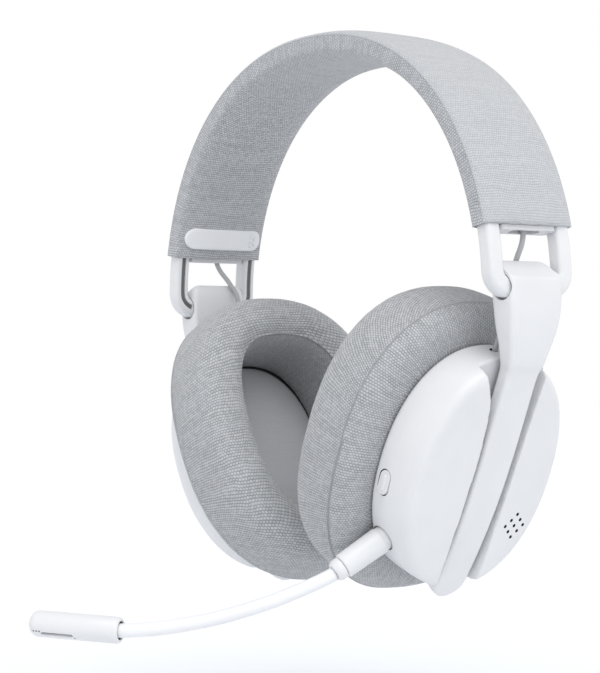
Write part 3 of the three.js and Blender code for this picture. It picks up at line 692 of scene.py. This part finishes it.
def prong_path():
    """Stations (y, down, heading, roundness) down a prong, round its elbow and into its foot."""
    path = [(PRONG_Y, down, 0, 0) for down in np.linspace(PRONG_TOP, -ELBOW_RADIUS, 30)]
    for share in np.linspace(0, 1, 19)[1:]:
        turn = share * math.pi / 2
        path.append((PRONG_Y - ELBOW_RADIUS * (1 - math.cos(turn)),
                     -ELBOW_RADIUS + ELBOW_RADIUS * math.sin(turn), turn, share ** 1.5))
    return path + [(y, 0, math.pi / 2, 1) for y in FOOT_Y]


def along_prong(name, path, outlines, front):
    """Sweeps outlines along a prong: front is -1 for the front one and 1 for the rear one."""
    rows = []
    for (y, down, heading, _), outline in zip(path, outlines):
        rows.append([
            slide_point(down + across * math.sin(heading), front * (y + across * math.cos(heading)), out)
            for across, out in outline
        ])
    return swept(name, rows)


def prong_outlines(path):
    bar = rounded_rect(PRONG_WIDTH, PRONG_DEPTH, 1.45, 9)
    angle = np.arctan2(bar[:, 1], bar[:, 0])
    circle = BOSS_RADIUS * np.stack([np.cos(angle), np.sin(angle)], axis=1)
    outlines = [bar * (1 - roundness) + circle * roundness for *_, roundness in path]
    outlines[-1] = outlines[-1] * 0.88
    return outlines


def slab(half, low, high):
    return [(-half, low), (half, low), (half, high), (-half, high)]


def forks():
    path = prong_path()
    stretch = [station for station in path if station[1] > GROOVE_TOP and station[2] < GROOVE_END_TURN]
    prongs = []
    for front in (-1, 1):
        place = "front" if front < 0 else "rear"
        prong = along_prong("prong", path, prong_outlines(path), front)
        cut = along_prong("cut", stretch, [slab(0.95, -8, -PRONG_DEPTH / 2 + 1.3)] * len(stretch), front)
        prongs.append(carve(prong, cut))
        liner = slab(0.7, -PRONG_DEPTH / 2 + 0.4, -PRONG_DEPTH / 2 + 1.05)
        strip = along_prong(f"left_{place}_groove_liner", stretch, [liner] * len(stretch), front)
        crease(strip)
        node = "{}_" + place + "_groove_strip"
        finished_pair(strip, "{}_slider", "dark_plastic", [groove_plastic_and_painted_shade], node)
    span = np.linspace(PRONG_TOP + 0.5, PRONG_TOP + 8, 4)
    outline = slab(PRONG_Y, 1.35, 2.6)
    bridge = swept("bridge", [[slide_point(down, y, out) for y, out in outline] for down in span])
    fork = carve(prongs[0], prongs[1], bridge, operation="UNION")
    fork.name = "left_fork_frame"
    crease(fork, 40)
    finished_pair(fork, "{}_slider", "white_plastic", [white], "{}_fork")


# -- arms
ARM_HEAD = [(84.5, -73.8, 6.4, 19), (84.5, -74.8, 8.2, 21.4), (84.5, -76.6, 9.6, 22.9),
            (84.6, -82.5, 10, 23.4), (84.5, -90, 9.4, 22.8), (83.9, -96, 8.4, 21.2),
            (82.9, -101.5, 7.2, 18.2), (81.6, -106.5, 6.3, 15.9)]
HEAD_SLOPE = [(80.6, -72.9), (92, -81.4), (92, -60), (80.6, -60)]
COVER_TOP, COVER_END = -90, -168  # heights in the row frame
POCKET = (9.1, 16, BOSS_RADIUS + 0.45)  # for a fork's foot: from and to along y, and radius
PIN_HOLE = (3.4, 10, 1.35)


def arm_bow(z):
    """How far the arm bows inwards at a height in the cup's frame."""
    return max(0, ARM_CREST_Z - z) ** 2 / (2 * ARM_BOW_RADIUS)


def arm_path():
    """Stations (x, z, depth, width) down the arm, spread evenly."""
    laid = [(z, ARM_DEPTH, ARM_WIDTH) for z in (ARM_TOP_Z, 24, ARM_CREST_Z, -4, -16, -28, -37)]
    for short in (6.5, 5, 3.6, 2.3, 1.2, 0.4, 0):
        round_end = math.sqrt(max(0, 1 - (1 - short / 7.1) ** 2))
        depth = ARM_DEPTH - 1.6 * (1 - short / 6.5) ** 3
        laid.append((ARM_END_Z + short, depth, max(4.5, ARM_WIDTH * round_end)))
    middles = [from_cup(ARM_OUTER_X - ARM_DEPTH / 2 - arm_bow(z), 0, z) for z, _, _ in laid]
    laid = [(at.x, at.z, depth, width) for at, (_, depth, width) in zip(middles, laid)]
    return smooth_curve(ARM_HEAD + laid, 90)


def along_arm(name, path, outlines):
    rows = []
    for i, outline in enumerate(outlines):
        before, after = path[max(i - 1, 0)], path[min(i + 1, len(path) - 1)]
        down = Vector((after[0] - before[0], after[1] - before[1])).normalized()
        x, z = path[i][:2]
        rows.append([(x - out * down.y, across, z + out * down.x) for across, out in outline])
    return swept(name, rows)


def liner_body(name, path, grow):
    """The cover let into the side of the arm that faces the head."""
    outlines = [slab(width / 2 - 3.6 + grow, -depth / 2 - 0.15 - 2 * grow, -depth / 2 + 1.2 + grow)
                for _, _, depth, width in path]
    return along_arm(name, path, outlines)


def pivot_holes(start, end, radius):
    """Cutters along the pivot's line, one at the front and one at the rear."""
    rods = [rod((PIVOT.x, front * start, PIVOT.z), (PIVOT.x, front * end, PIVOT.z), radius, 48)
            for front in (-1, 1)]
    return joined("holes", *rods)


def neck_hole(grow):
    return rod(from_cup(0, ARM_Y, 0), from_cup(17.5, ARM_Y, 0), 1.8 + grow)


def arms():
    path = arm_path()
    outlines = []
    for _, _, depth, width in path:
        outline = rounded_rect(width, depth, min(1.5, depth * 0.3), 6)
        outline[:, 1] += np.where(outline[:, 1] > 0, 0.22 * (1 - (2 * outline[:, 0] / width) ** 2), 0)
        outlines.append(outline)
    slope = swept("cut", [[(x, y, z) for x, z in HEAD_SLOPE] for y in (-20, 20)])
    body = soften(carve(along_arm("left_arm_body", path, outlines), slope), 0.36, 6)
    covered = [station for station in path if COVER_END < station[1] < COVER_TOP]
    carve(body, pivot_holes(*POCKET), pivot_holes(*PIN_HOLE))
    carve(body, liner_body("cut", covered, 0.3), neck_hole(0.3))
    crease(body, 30)
    finished_pair(body, "{}_arm", "white_plastic", [white], "{}_arm")
    liner = liner_body("left_arm_liner", covered[1:-1], 0)
    bevel = liner.modifiers.new("bevel", "BEVEL")
    bevel.width, bevel.segments = 0.3 * MM, 3
    carve(applied(liner), neck_hole(0.35))
    crease(liner, 30)
    finished_pair(liner, "{}_arm", "white_plastic", [white], "{}_arm_cover")


# -- ear cups
def cup_body(name, rings, half_width, half_height, count=144):
    """A body through oval rings (x, share of the width, share of the height) in the left cup's frame."""
    rows = []
    for x, wide, high in rings:
        oval = superellipse(half_width * wide, half_height * high, CUP_POWER, count)
        rows.append([from_cup(x, y, z) for y, z in oval])
    return swept(name, rows)


def channel(grow):
    """The room over the channel that the arm lies in; it widens at the top, beside the wire."""
    walls = [(46, -14.5, 14.8), (38, -13.2, 13.9), (33, -11, 13.2), (28, -8.8, 12.6), (22, -7.8, 12.1),
             (14, -7.3, 11.6), (4, -7.2, 11.1), (-10, -7.6, 10.6), (-20, -7.9, 10.2), (-30, -8.3, 9.9),
             (-38, -8.6, 9.7), (-46, -8.9, 9.6)]
    rows = []
    for z, front, rear in smooth_curve(walls, 90):
        floor = CHANNEL_FLOOR - grow - arm_bow(z)
        corners = [(floor, front - grow), (floor, rear + grow), (30, rear + grow), (30, front - grow)]
        rows.append([from_cup(x, y, z) for x, y in corners])
    return swept("cut", rows)


def shell_outside():
    rings = [(0, 0.975, 0.98), (0.4, 0.988, 0.99), (1.4, 1, 1), (3.5, 1, 1), (6, 0.999, 1), (8.5, 0.992, 1),
             (11, 0.98, 1), (13, 0.965, 0.998), (14.8, 0.95, 0.994), (16, 0.936, 0.988), (16.9, 0.92, 0.978),
             (17.5, 0.895, 0.957), (17.85, 0.865, 0.928), (18.05, 0.8, 0.86), (18.3, 0.6, 0.64),
             (18.6, 0.35, 0.37), (18.8, 0.1, 0.1)]
    body = cup_body("left_shell", rings, CUP_HALF_WIDTH, CUP_HALF_HEIGHT)
    return soften(carve(body, channel(0)), 0.5, 6)


def shell_inside():
    rings = [(-1, 0.98, 0.98), (6, 1, 1), (CUP_DEPTH - 4, 0.96, 0.99), (CUP_DEPTH - 1.8, 0.88, 0.92)]
    room = cup_body("room", rings, CUP_HALF_WIDTH - WALL, CUP_HALF_HEIGHT - WALL, 64)
    return carve(room, channel(WALL))


VENT_Y, VENT_Z, VENT_PITCH, VENT_RADIUS = 19, -18, 3, 0.65
BUTTON = {"x": 5.1, "z": -5.5, "width": 4.6, "height": 8.4, "face": -33.3}
WHEEL = {"x": 7.4, "y": 28.4, "z": 2, "radius": 6, "width": 4.2}
USB = {"x": 3.6, "y": 5, "width": 3.4, "length": 9.2}


def through_wall(name, width, height, steps):
    """An upright pill that runs through the cup's front wall, through (y, inset) steps."""
    rows = []
    for y, inset in steps:
        outline = rounded_rect(width - 2 * inset, height - 2 * inset, (width - 2 * inset) / 2 - 0.01, 8)
        rows.append([from_cup(BUTTON["x"] + a, y, BUTTON["z"] + b) for a, b in outline])
    return swept(name, rows)


def common_holes():
    wire = rod(from_cup(6, -1.6, 36), from_cup(6, -1.6, 46), 1.5)
    neck = rod(from_cup(5, ARM_Y, 0), from_cup(20, ARM_Y, 0), 2.9)
    return joined("holes", wire, neck)


def vent_holes():
    """A square of three by three small holes, standing on its corner."""
    step = VENT_PITCH * math.sqrt(0.5)
    cells = [(row, column) for row in (-1, 0, 1) for column in (-1, 0, 1)]
    places = [(VENT_Y + (row + column) * step, VENT_Z + (row - column) * step) for row, column in cells]
    return [rod(from_cup(12, y, z), from_cup(22, y, z), VENT_RADIUS, 20) for y, z in places]


def left_holes():
    seat = from_cup(*MIC_SEAT)
    mic = rod(seat - 5 * MIC_DIRECTION, seat + 7 * MIC_DIRECTION, MIC_BASE_RADIUS + 0.12, 48)
    button = through_wall("cut", BUTTON["width"] + 0.8, BUTTON["height"] + 0.8, [(-40, 0), (-26, 0)])
    x, z = WHEEL["x"], WHEEL["z"]
    wheel = swept("cut", [[from_cup(x + across, y, end) for across, y in slab(2.5, 20, 40)]
                          for end in (z - 6.2, z + 6.2)])
    outline = rounded_rect(USB["width"], USB["length"], USB["width"] / 2 - 0.01, 8)
    places = [(USB["x"] + a, USB["y"] + b) for a, b in outline]
    usb = swept("cut", [[from_cup(x, y, end) for x, y in places] for end in (-50, -36)])
    return joined("holes", *vent_holes(), mic, button, wheel, usb)


def paint_shade_inside(shell, sign):
    """Paints shade on the shell: its inner faces and the walls of its vents get the near-black dark grey,
    which stands in for the shade inside the cup and in the vent holes.
    """
    for face in shell.data.polygons:
        centre = Vector((sign * face.center.x, face.center.y, face.center.z)) / MM - CUP_CENTRE
        x, y, z = centre.dot(CUP_OUT), centre.y, centre.dot(CUP_UP)
        normal = Vector((sign * face.normal.x, face.normal.y, face.normal.z))
        in_channel = -16 < y < 16 and x > CHANNEL_FLOOR - arm_bow(z) - 1
        in_vents = abs(y - VENT_Y) + abs(z - VENT_Z) < 6 and abs(normal.dot(CUP_OUT)) < 0.4
        faces_room = normal.dot(centre - 8 * CUP_OUT) < 0 and x < CUP_DEPTH - 1.5
        # Painted shade: the faces inside the shell and the vent walls take the second, dark grey material.
        if in_vents or (faces_room and not in_channel):
            face.material_index = 1


def cup_shells():
    left = shell_outside()
    carve(left, shell_inside(), common_holes())
    right = mirrored(left, "right_shell")
    carve(left, left_holes())
    for side, sign, shell in (("left", 1, left), ("right", -1, right)):
        crease(shell, 32)
        # The dark grey second material is painted shade for the shell's inside and its vent walls.
        finished(shell, f"{side}_cup", "white_plastic", [white, dark_plastic_and_painted_shade], f"{side}_cup_shell")
        paint_shade_inside(shell, sign)


def baffle_cloths():
    """The smooth cloth over the driver, slightly domed."""
    half_width, half_height = 25.2, 33.8
    rings = [(-0.5, 0.6), (-0.5, 0.97), (-0.8, 1), (-1.3, 0.99), (-1.8, 0.96), (-2.3, 0.9), (-2.8, 0.8),
             (-3.2, 0.66), (-3.5, 0.5), (-3.65, 0.32), (-3.7, 0.15), (-3.7, 0.03)]
    rows, weave = [], []
    for x, share in rings:
        oval = superellipse(half_width * share, half_height * share, PAD_POWER, 96)
        rows.append([from_cup(x, y + PAD_SHIFT_Y, z) for y, z in oval])
        weave.append([tuple(place) for place in np.vstack([oval, oval[:1]])])
    cloth = swept("left_driver_cloth", rows, weave=weave)
    finished_pair(cloth, "{}_cup", "driver_cloth", [driver_cloth], "{}_baffle_cloth")


# -- ear pads
PAD_CREST = (9.4, -PAD_DEPTH + 0.4)
SIDE, FRONT, INNER, THREAD = range(4)  # the pads' finishes
SEAM_HALF_WIDTH = 0.3
SEAM_DEPTH = 0.4


def pad_section():
    """The pad's section as (inset from the outer edge, x), its lengths, and where its two seams are."""
    keys = [(11.6, -0.5), (8, -0.8), (5, -1.6), (1.6, -4.2), (0.1, -8.6), (-0.1, -13), (0.1, -18),
            (1.2, -24.4), (4.3, -28.9), PAD_CREST, (13.8, -29.8), (17.4, -26.2), (18.9, -19), (18.9, -9),
            (18, -0.5)]
    curve = smooth_curve(keys, 400)
    lengths = lengths_of(curve)
    outer_seam = lengths[np.argmin(np.hypot(curve[:, 0] - 0.4, curve[:, 1] + 7))]
    inner_seam = lengths[np.argmin(np.hypot(curve[:, 0] - 16.9, curve[:, 1] + 27))]
    spread = list(np.arange(0, lengths[-1], 1.35)) + [lengths[-1]]
    for seam in (outer_seam, inner_seam):
        spread = [s for s in spread if abs(s - seam) > 1.1]
        spread += [seam + step for step in (-0.55, -0.2, 0.2, 0.55)]
    at = np.array(sorted(spread))
    section = resample(curve, at)
    sunk = np.zeros(len(at))
    for seam in (outer_seam, inner_seam):
        sunk += SEAM_DEPTH * (np.abs(at - seam) < SEAM_HALF_WIDTH)
    heading = np.gradient(section, axis=0)
    heading /= np.linalg.norm(heading, axis=1, keepdims=True)
    section += sunk[:, None] * np.stack([-heading[:, 1], heading[:, 0]], axis=1) * -1
    return section, at, (outer_seam, inner_seam)


def pad_rim(count):
    """Even stations round the pad's outer edge: points, outward directions and lengths."""
    oval = superellipse(PAD_HALF_WIDTH, PAD_HALF_HEIGHT, PAD_POWER, 4000)
    closed = np.vstack([oval, oval[:1]])
    whole = lengths_of(closed)[-1]
    at = np.arange(count + 1) / count * whole
    rim = resample(closed, at)
    ahead = resample(closed, (at + 0.5) % whole) - resample(closed, (at - 0.5) % whole)
    outward = np.stack([ahead[:, 1], -ahead[:, 0]], axis=1)
    outward /= np.linalg.norm(outward, axis=1, keepdims=True)
    return rim, outward, at


def pad_weave(rim, outward, around, at, seams):
    """Where each corner lies on its cloth: the front is one flat panel, the side and the inner wall are
    strips that run round the pad."""
    crest = at[np.argmin(np.abs(at - sum(seams) / 2))]
    weave = []
    for point, out, length in zip(rim, outward, around):
        flat = point - PAD_CREST[0] * out
        row = []
        for s in at:
            front = seams[0] < s < seams[1]
            row.append(tuple(flat + out * (crest - s)) if front else (s, length))
        row.append(row[-1])
        weave.append(row)
    return weave


def ear_pads():
    section, at, seams = pad_section()
    rim, outward, around = pad_rim(168)
    rows = []
    for index, (point, out) in enumerate(zip(rim[:-1], outward[:-1])):
        pucker = 0.06 * math.sin(index * 2.4) + 0.05 * math.sin(index * 0.9 + 1)
        places = [point - inset * out for inset, _ in section]
        rows.append([
            from_cup(x, PAD_SHIFT_Y + y, z) for (y, z), x in zip(places, section[:, 1] + pucker)
        ])
    middle = (at[:-1] + at[1:]) / 2
    on_seam = np.min([np.abs(middle - seam) for seam in seams], axis=0) < SEAM_HALF_WIDTH
    kinds = np.select([on_seam, middle < seams[0], middle < seams[1]], [THREAD, SIDE, FRONT], INNER)
    kinds = np.append(kinds, SIDE)
    pad = swept("left_ear_cushion", rows, looped=True,
                weave=pad_weave(rim, outward, around, at, seams), finish=[kinds] * len(rows))
    held = np.zeros(len(at))
    held[(np.abs(at - seams[0]) < 0.6) | (np.abs(at - seams[1]) < 0.6)] = 1
    held[(at < 4) | (at > at[-1] - 6)] = 1
    swell(pad, np.tile(held, len(rows)), cap=1.0)
    subdivide(pad)
    panels = [pad_side, pad_front, pad_inner, seam_thread]
    finished_pair(pad, "{}_cup", "pad_fabric", panels, "{}_ear_pad")


# -- controls
def mode_button():
    """A small upright key with a raised bar in the middle."""
    face = BUTTON["face"]
    steps = [(-28.2, 0), (face + 0.3, 0), (face + 0.08, 0.1), (face, 0.35), (face + 0.05, 0.8),
             (face + 0.1, 1.2), (face - 0.25, 1.5), (face - 0.3, 1.8), (face - 0.3, 2.2)]
    key = through_wall("mode_key", BUTTON["width"], BUTTON["height"], steps)
    crease(key, 50)
    finished(key, "mode_button", "white_plastic", [white], "mode_button")


def volume_wheel():
    """A wheel with fine ribs round it."""
    radius, half = WHEEL["radius"], WHEEL["width"] / 2
    angles = np.arange(240) / 240 * 2 * np.pi
    steps = [(-half, 0.55, 0), (-half, 0.94, 0), (-half + 0.35, 1, 0.13), (half - 0.35, 1, 0.13),
             (half, 0.94, 0), (half, 0.55, 0)]
    rows = []
    for x, size, depth in steps:
        ring = radius * size - depth * (1 + np.cos(angles * 40))
        rows.append([from_cup(WHEEL["x"] + x, WHEEL["y"] + r * math.cos(a), WHEEL["z"] + r * math.sin(a))
                     for r, a in zip(ring, angles)])
    wheel = swept("volume_roller", rows)
    crease(wheel, 40)
    finished(wheel, "volume_wheel", "white_plastic", [white], "volume_wheel")


# -- microphone
BOOM_ROUTE = [
    (37.1, -43.9, -174.4), (34.9, -49.2, -176.8), (32.1, -56.6, -179.6), (29, -64.8, -182.4),
    (23.7, -77.9, -185.8), (18.7, -88.1, -187.7), (12.7, -97.5, -189), (6.1, -105.5, -189.4),
]
CAPSULE_START = Vector((5.7, -105.8, -189.4))
CAPSULE_DIRECTION = Vector((-0.83, -0.553, 0.063)).normalized()


def rounded_end(radius, end, fillet, steps=6):
    """The last points of a profile whose edge is rounded."""
    turns = np.linspace(0, math.pi / 2, steps)
    inner, start = radius - fillet, end - fillet
    return [(inner + fillet * math.cos(t), start + fillet * math.sin(t)) for t in turns] + [(0, end)]


def microphone_base():
    seat = from_cup(*MIC_SEAT)
    profile = [(0, -10), (1.5, -10), (1.5, -5), (3.1, -5), (3.1, -2.6), (4.2, -2.6), (4.2, 0), (4.42, 0.3),
               (MIC_BASE_RADIUS, 0.8), (4.4, 5), (4.3, 10)] + rounded_end(4.2, MIC_BASE_LENGTH, 0.7)
    base = crease(turned("microphone_base", profile, seat, MIC_DIRECTION), 40)
    finished(base, "microphone", "white_plastic", [white], "mic_base")
    start, end = MIC_BASE_LENGTH + 0.15, MIC_BASE_LENGTH + MIC_COLLAR_LENGTH
    profile = [(0, start), (3.6, start), (3.75, start + 0.25), (3.6, end - 1)] + rounded_end(3.25, end, 0.5)
    collar = crease(turned("microphone_collar", profile, seat, MIC_DIRECTION), 40)
    finished(collar, "microphone", "white_plastic", [white], "mic_collar")


def microphone_boom():
    first = Vector(BOOM_ROUTE[0]) - 0.6 * MIC_DIRECTION
    last = CAPSULE_START + 2 * CAPSULE_DIRECTION
    boom = tube("microphone_stem", [tuple(first), *BOOM_ROUTE[1:], tuple(last)], BOOM_RADIUS, 90, 28)
    finished(boom, "microphone", "boom_skin", [white_rubber], "mic_boom")


def capsule_point(along, turn, radius):
    """A point on the capsule: turn is the angle round it, from straight down towards the front."""
    side = CAPSULE_DIRECTION.cross(Vector((0, 0, 1))).normalized()
    side = side if side.y < 0 else -side
    down = side.cross(CAPSULE_DIRECTION).normalized()
    down = down if down.z < 0 else -down
    angle = math.radians(turn)
    outward = math.cos(angle) * down + math.sin(angle) * side
    return CAPSULE_START + float(along) * CAPSULE_DIRECTION + radius * outward


def capsule_slot(first, last, turn, half_width, floor):
    """A cutter for a slot along the capsule, or a round hole where first and last are the same."""
    spread = math.degrees(half_width / CAPSULE_RADIUS)
    rows = []
    for radius in (floor, CAPSULE_RADIUS + 1):
        outline = rounded_rect(last - first + 2 * half_width, 2 * half_width, half_width * 0.98, 6)
        rows.append([capsule_point((first + last) / 2 + a, turn + b / half_width * spread, radius)
                     for a, b in outline])
    return swept("cut", rows)


def microphone_capsule():
    """The capsule at the boom's end: a recess round the boom, a long slot low on its side and small holes."""
    profile = [(2.35, 4), (2.95, 4), (2.95, 0.25), (3.1, 0.05), (3.5, 0), (3.9, 0.3), (CAPSULE_RADIUS, 1.1),
               (CAPSULE_RADIUS, 12), (CAPSULE_RADIUS, 20)] + rounded_end(CAPSULE_RADIUS, CAPSULE_LENGTH, 3, 9)
    capsule = turned("microphone_capsule", profile, CAPSULE_START, CAPSULE_DIRECTION, 64)
    slot = capsule_slot(15.5, 25.5, 52, 0.6, CAPSULE_RADIUS - 0.9)
    dots = [capsule_slot(along, along, 62, 0.38, CAPSULE_RADIUS - 1.2) for along in (26.6, 27.6, 28.6)]
    mark = capsule_slot(14.6, 14.6, 38, 0.4, CAPSULE_RADIUS - 1)
    carve(capsule, joined("holes", slot, mark, *dots))
    crease(capsule, 35)
    nodes = ("mic_capsule_shell", "mic_capsule_core")
    finished(capsule, "microphone", "white_plastic", [white, groove_plastic_and_painted_shade], *nodes)
    # Painted shade: the bore round the boom and the slot, the mark and the holes take the second, dark grey
    # material.
    for face in capsule.data.polygons:
        offset = face.center / MM - CAPSULE_START
        along = offset.dot(CAPSULE_DIRECTION)
        radius = (offset - along * CAPSULE_DIRECTION).length
        if along > 0.26 and (radius < 3 or (along > 14 and radius < CAPSULE_RADIUS - 0.85)) and along < 27:
            face.material_index = 1


# -- wires
LEFT_WIRE = [
    (82.5, 0.3, -58.6), (83.2, 0.3, -62.5), (82.4, 0.3, -68), (79.6, 0.3, -73.5), (77.6, 0, -80),
    (76.6, -0.8, -88), (75.6, -1.8, -94), (73.7, -2.5, -98.6), (71.5, -2.6, -103.2), (69.9, -2.6, -106.6),
]
RIGHT_WIRE = [
    (82.5, 0.4, -58.6), (83.2, 0.6, -62.5), (82.2, 2, -67.6), (79.6, 4.8, -73), (77.4, 7, -79),
    (76.4, 5.8, -87), (75.4, 1.4, -94), (73.6, -1.8, -98.8), (71.5, -2.6, -103.2), (69.9, -2.6, -106.6),
]


def head_wires():
    """Each wire bends where its fork meets its arm."""
    for side, route, sign in (("left", LEFT_WIRE, 1), ("right", RIGHT_WIRE, -1)):
        places = [(sign * x, y, z) for x, y, z in route]
        wire = tube(f"{side}_band_wire", places, WIRE_RADIUS, 70, 16)
        wire.data.materials.append(sleeve_grey_and_painted_shade)
        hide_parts(f"{side}_head_wire")
        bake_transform(wire)


# -- CAD nodes that stay
def dress_cad_nodes():
    """Gives each CAD node the material of its slot, and the end plates a small bevel."""
    of_slot = {
        "white_plastic": white, "grey_plastic": light_grey, "dark_plastic": dark_plastic_and_painted_shade,
        "band_fabric": band_inner, "pad_fabric": pad_side, "driver_cloth": driver_cloth,
        "wire_skin": sleeve_grey_and_painted_shade, "boom_skin": white_rubber, "steel": steel, "board": board_green,
        "cell_wrap": cell_blue,
    }
    slots = {entry["node"]: entry["material_slot"] for entry in frame["record"]["subparts"]}
    for name, node in frame["nodes"].items():
        for place in node.material_slots:
            place.material = of_slot[slots[name]]
    for side in ("left", "right"):
        bevel = frame["nodes"][f"{side}_end_plate"].modifiers.new("bevel", "BEVEL")
        bevel.width, bevel.segments = 0.25 * MM, 2


# -- camera, floor and light
CAMERA_PLACE = (0.5379, -0.4649, -0.1118)
CAMERA_AZIMUTH = 50.76
CAMERA_ELEVATION = -1.32
CAMERA_ROLL = -1.05
CAMERA_LENS = 107.4
SENSOR_WIDTH = 36
FLOOR_DROP = 0.045
FLOOR_RADIUS = 8
KEY_FROM = (0.6, -0.25, 1)
KEY_STRENGTH = 1.7
KEY_SPREAD = 50  # degrees
SKY_FADE = (17, 45)  # degrees over the horizon, where the surround starts and stops to dim


def add_camera():
    data = bpy.data.cameras.new("camera")
    data.lens, data.sensor_width = CAMERA_LENS, SENSOR_WIDTH
    data.clip_start, data.clip_end = 0.02, 30
    camera = shown("camera", data)
    azimuth, elevation = math.radians(CAMERA_AZIMUTH), math.radians(CAMERA_ELEVATION)
    back = Vector((math.sin(azimuth) * math.cos(elevation), -math.cos(azimuth) * math.cos(elevation),
                   math.sin(elevation)))
    level = Vector((math.cos(azimuth), math.sin(azimuth), 0))
    right = Quaternion(back, math.radians(CAMERA_ROLL)) @ level
    up = back.cross(right)
    turn = Matrix((right, up, back)).transposed().to_4x4()
    camera.matrix_world = Matrix.Translation(CAMERA_PLACE) @ turn
    scene.camera = camera


def add_floor():
    """A plain pale floor, low enough to leave the cups and the microphone room to move."""
    material, tree, shader = new_material("pale floor", Roughness=0.7)
    tree.links.new(blended(tree, noise(tree, 3), grey(0.9), grey(0.93)), shader.inputs["Base Color"])
    bpy.ops.mesh.primitive_circle_add(vertices=96, radius=FLOOR_RADIUS, fill_type="NGON",
                                      location=(0, 0, cad_box[0].z - FLOOR_DROP))
    floor = bpy.context.object
    floor.name = "floor"
    floor.data.materials.append(material)


def add_light():
    """A surround that is white round the horizon and dimmer overhead, and a soft key light from above."""
    world = bpy.data.worlds.new("surround")
    world.use_nodes = True
    tree = world.node_tree
    background = tree.nodes["Background"]
    split = tree.nodes.new("ShaderNodeSeparateXYZ")
    tree.links.new(tree.nodes.new("ShaderNodeTexCoord").outputs["Generated"], split.inputs[0])
    low, high = (math.sin(math.radians(angle)) for angle in SKY_FADE)
    share = ranged(tree, split.outputs[2], low, high)
    tree.links.new(blended(tree, share, (1, 1, 1, 1), (0.6, 0.6, 0.61, 1)), background.inputs["Color"])
    background.inputs["Strength"].default_value = 1.0
    scene.world = world
    key = bpy.data.lights.new("key", "SUN")
    key.energy, key.angle = KEY_STRENGTH, math.radians(KEY_SPREAD)
    light = shown("key", key)
    light.rotation_mode = "QUATERNION"
    light.rotation_quaternion = (-Vector(KEY_FROM)).to_track_quat("-Z", "Y")
    scene.view_settings.view_transform = "Standard"


# -- the scene
add_camera()
dress_cad_nodes()
headband()
badge()
forks()
arms()
cup_shells()
baffle_cloths()
ear_pads()
mode_button()
volume_wheel()
microphone_base()
microphone_boom()
microphone_capsule()
head_wires()
add_floor()
add_light()
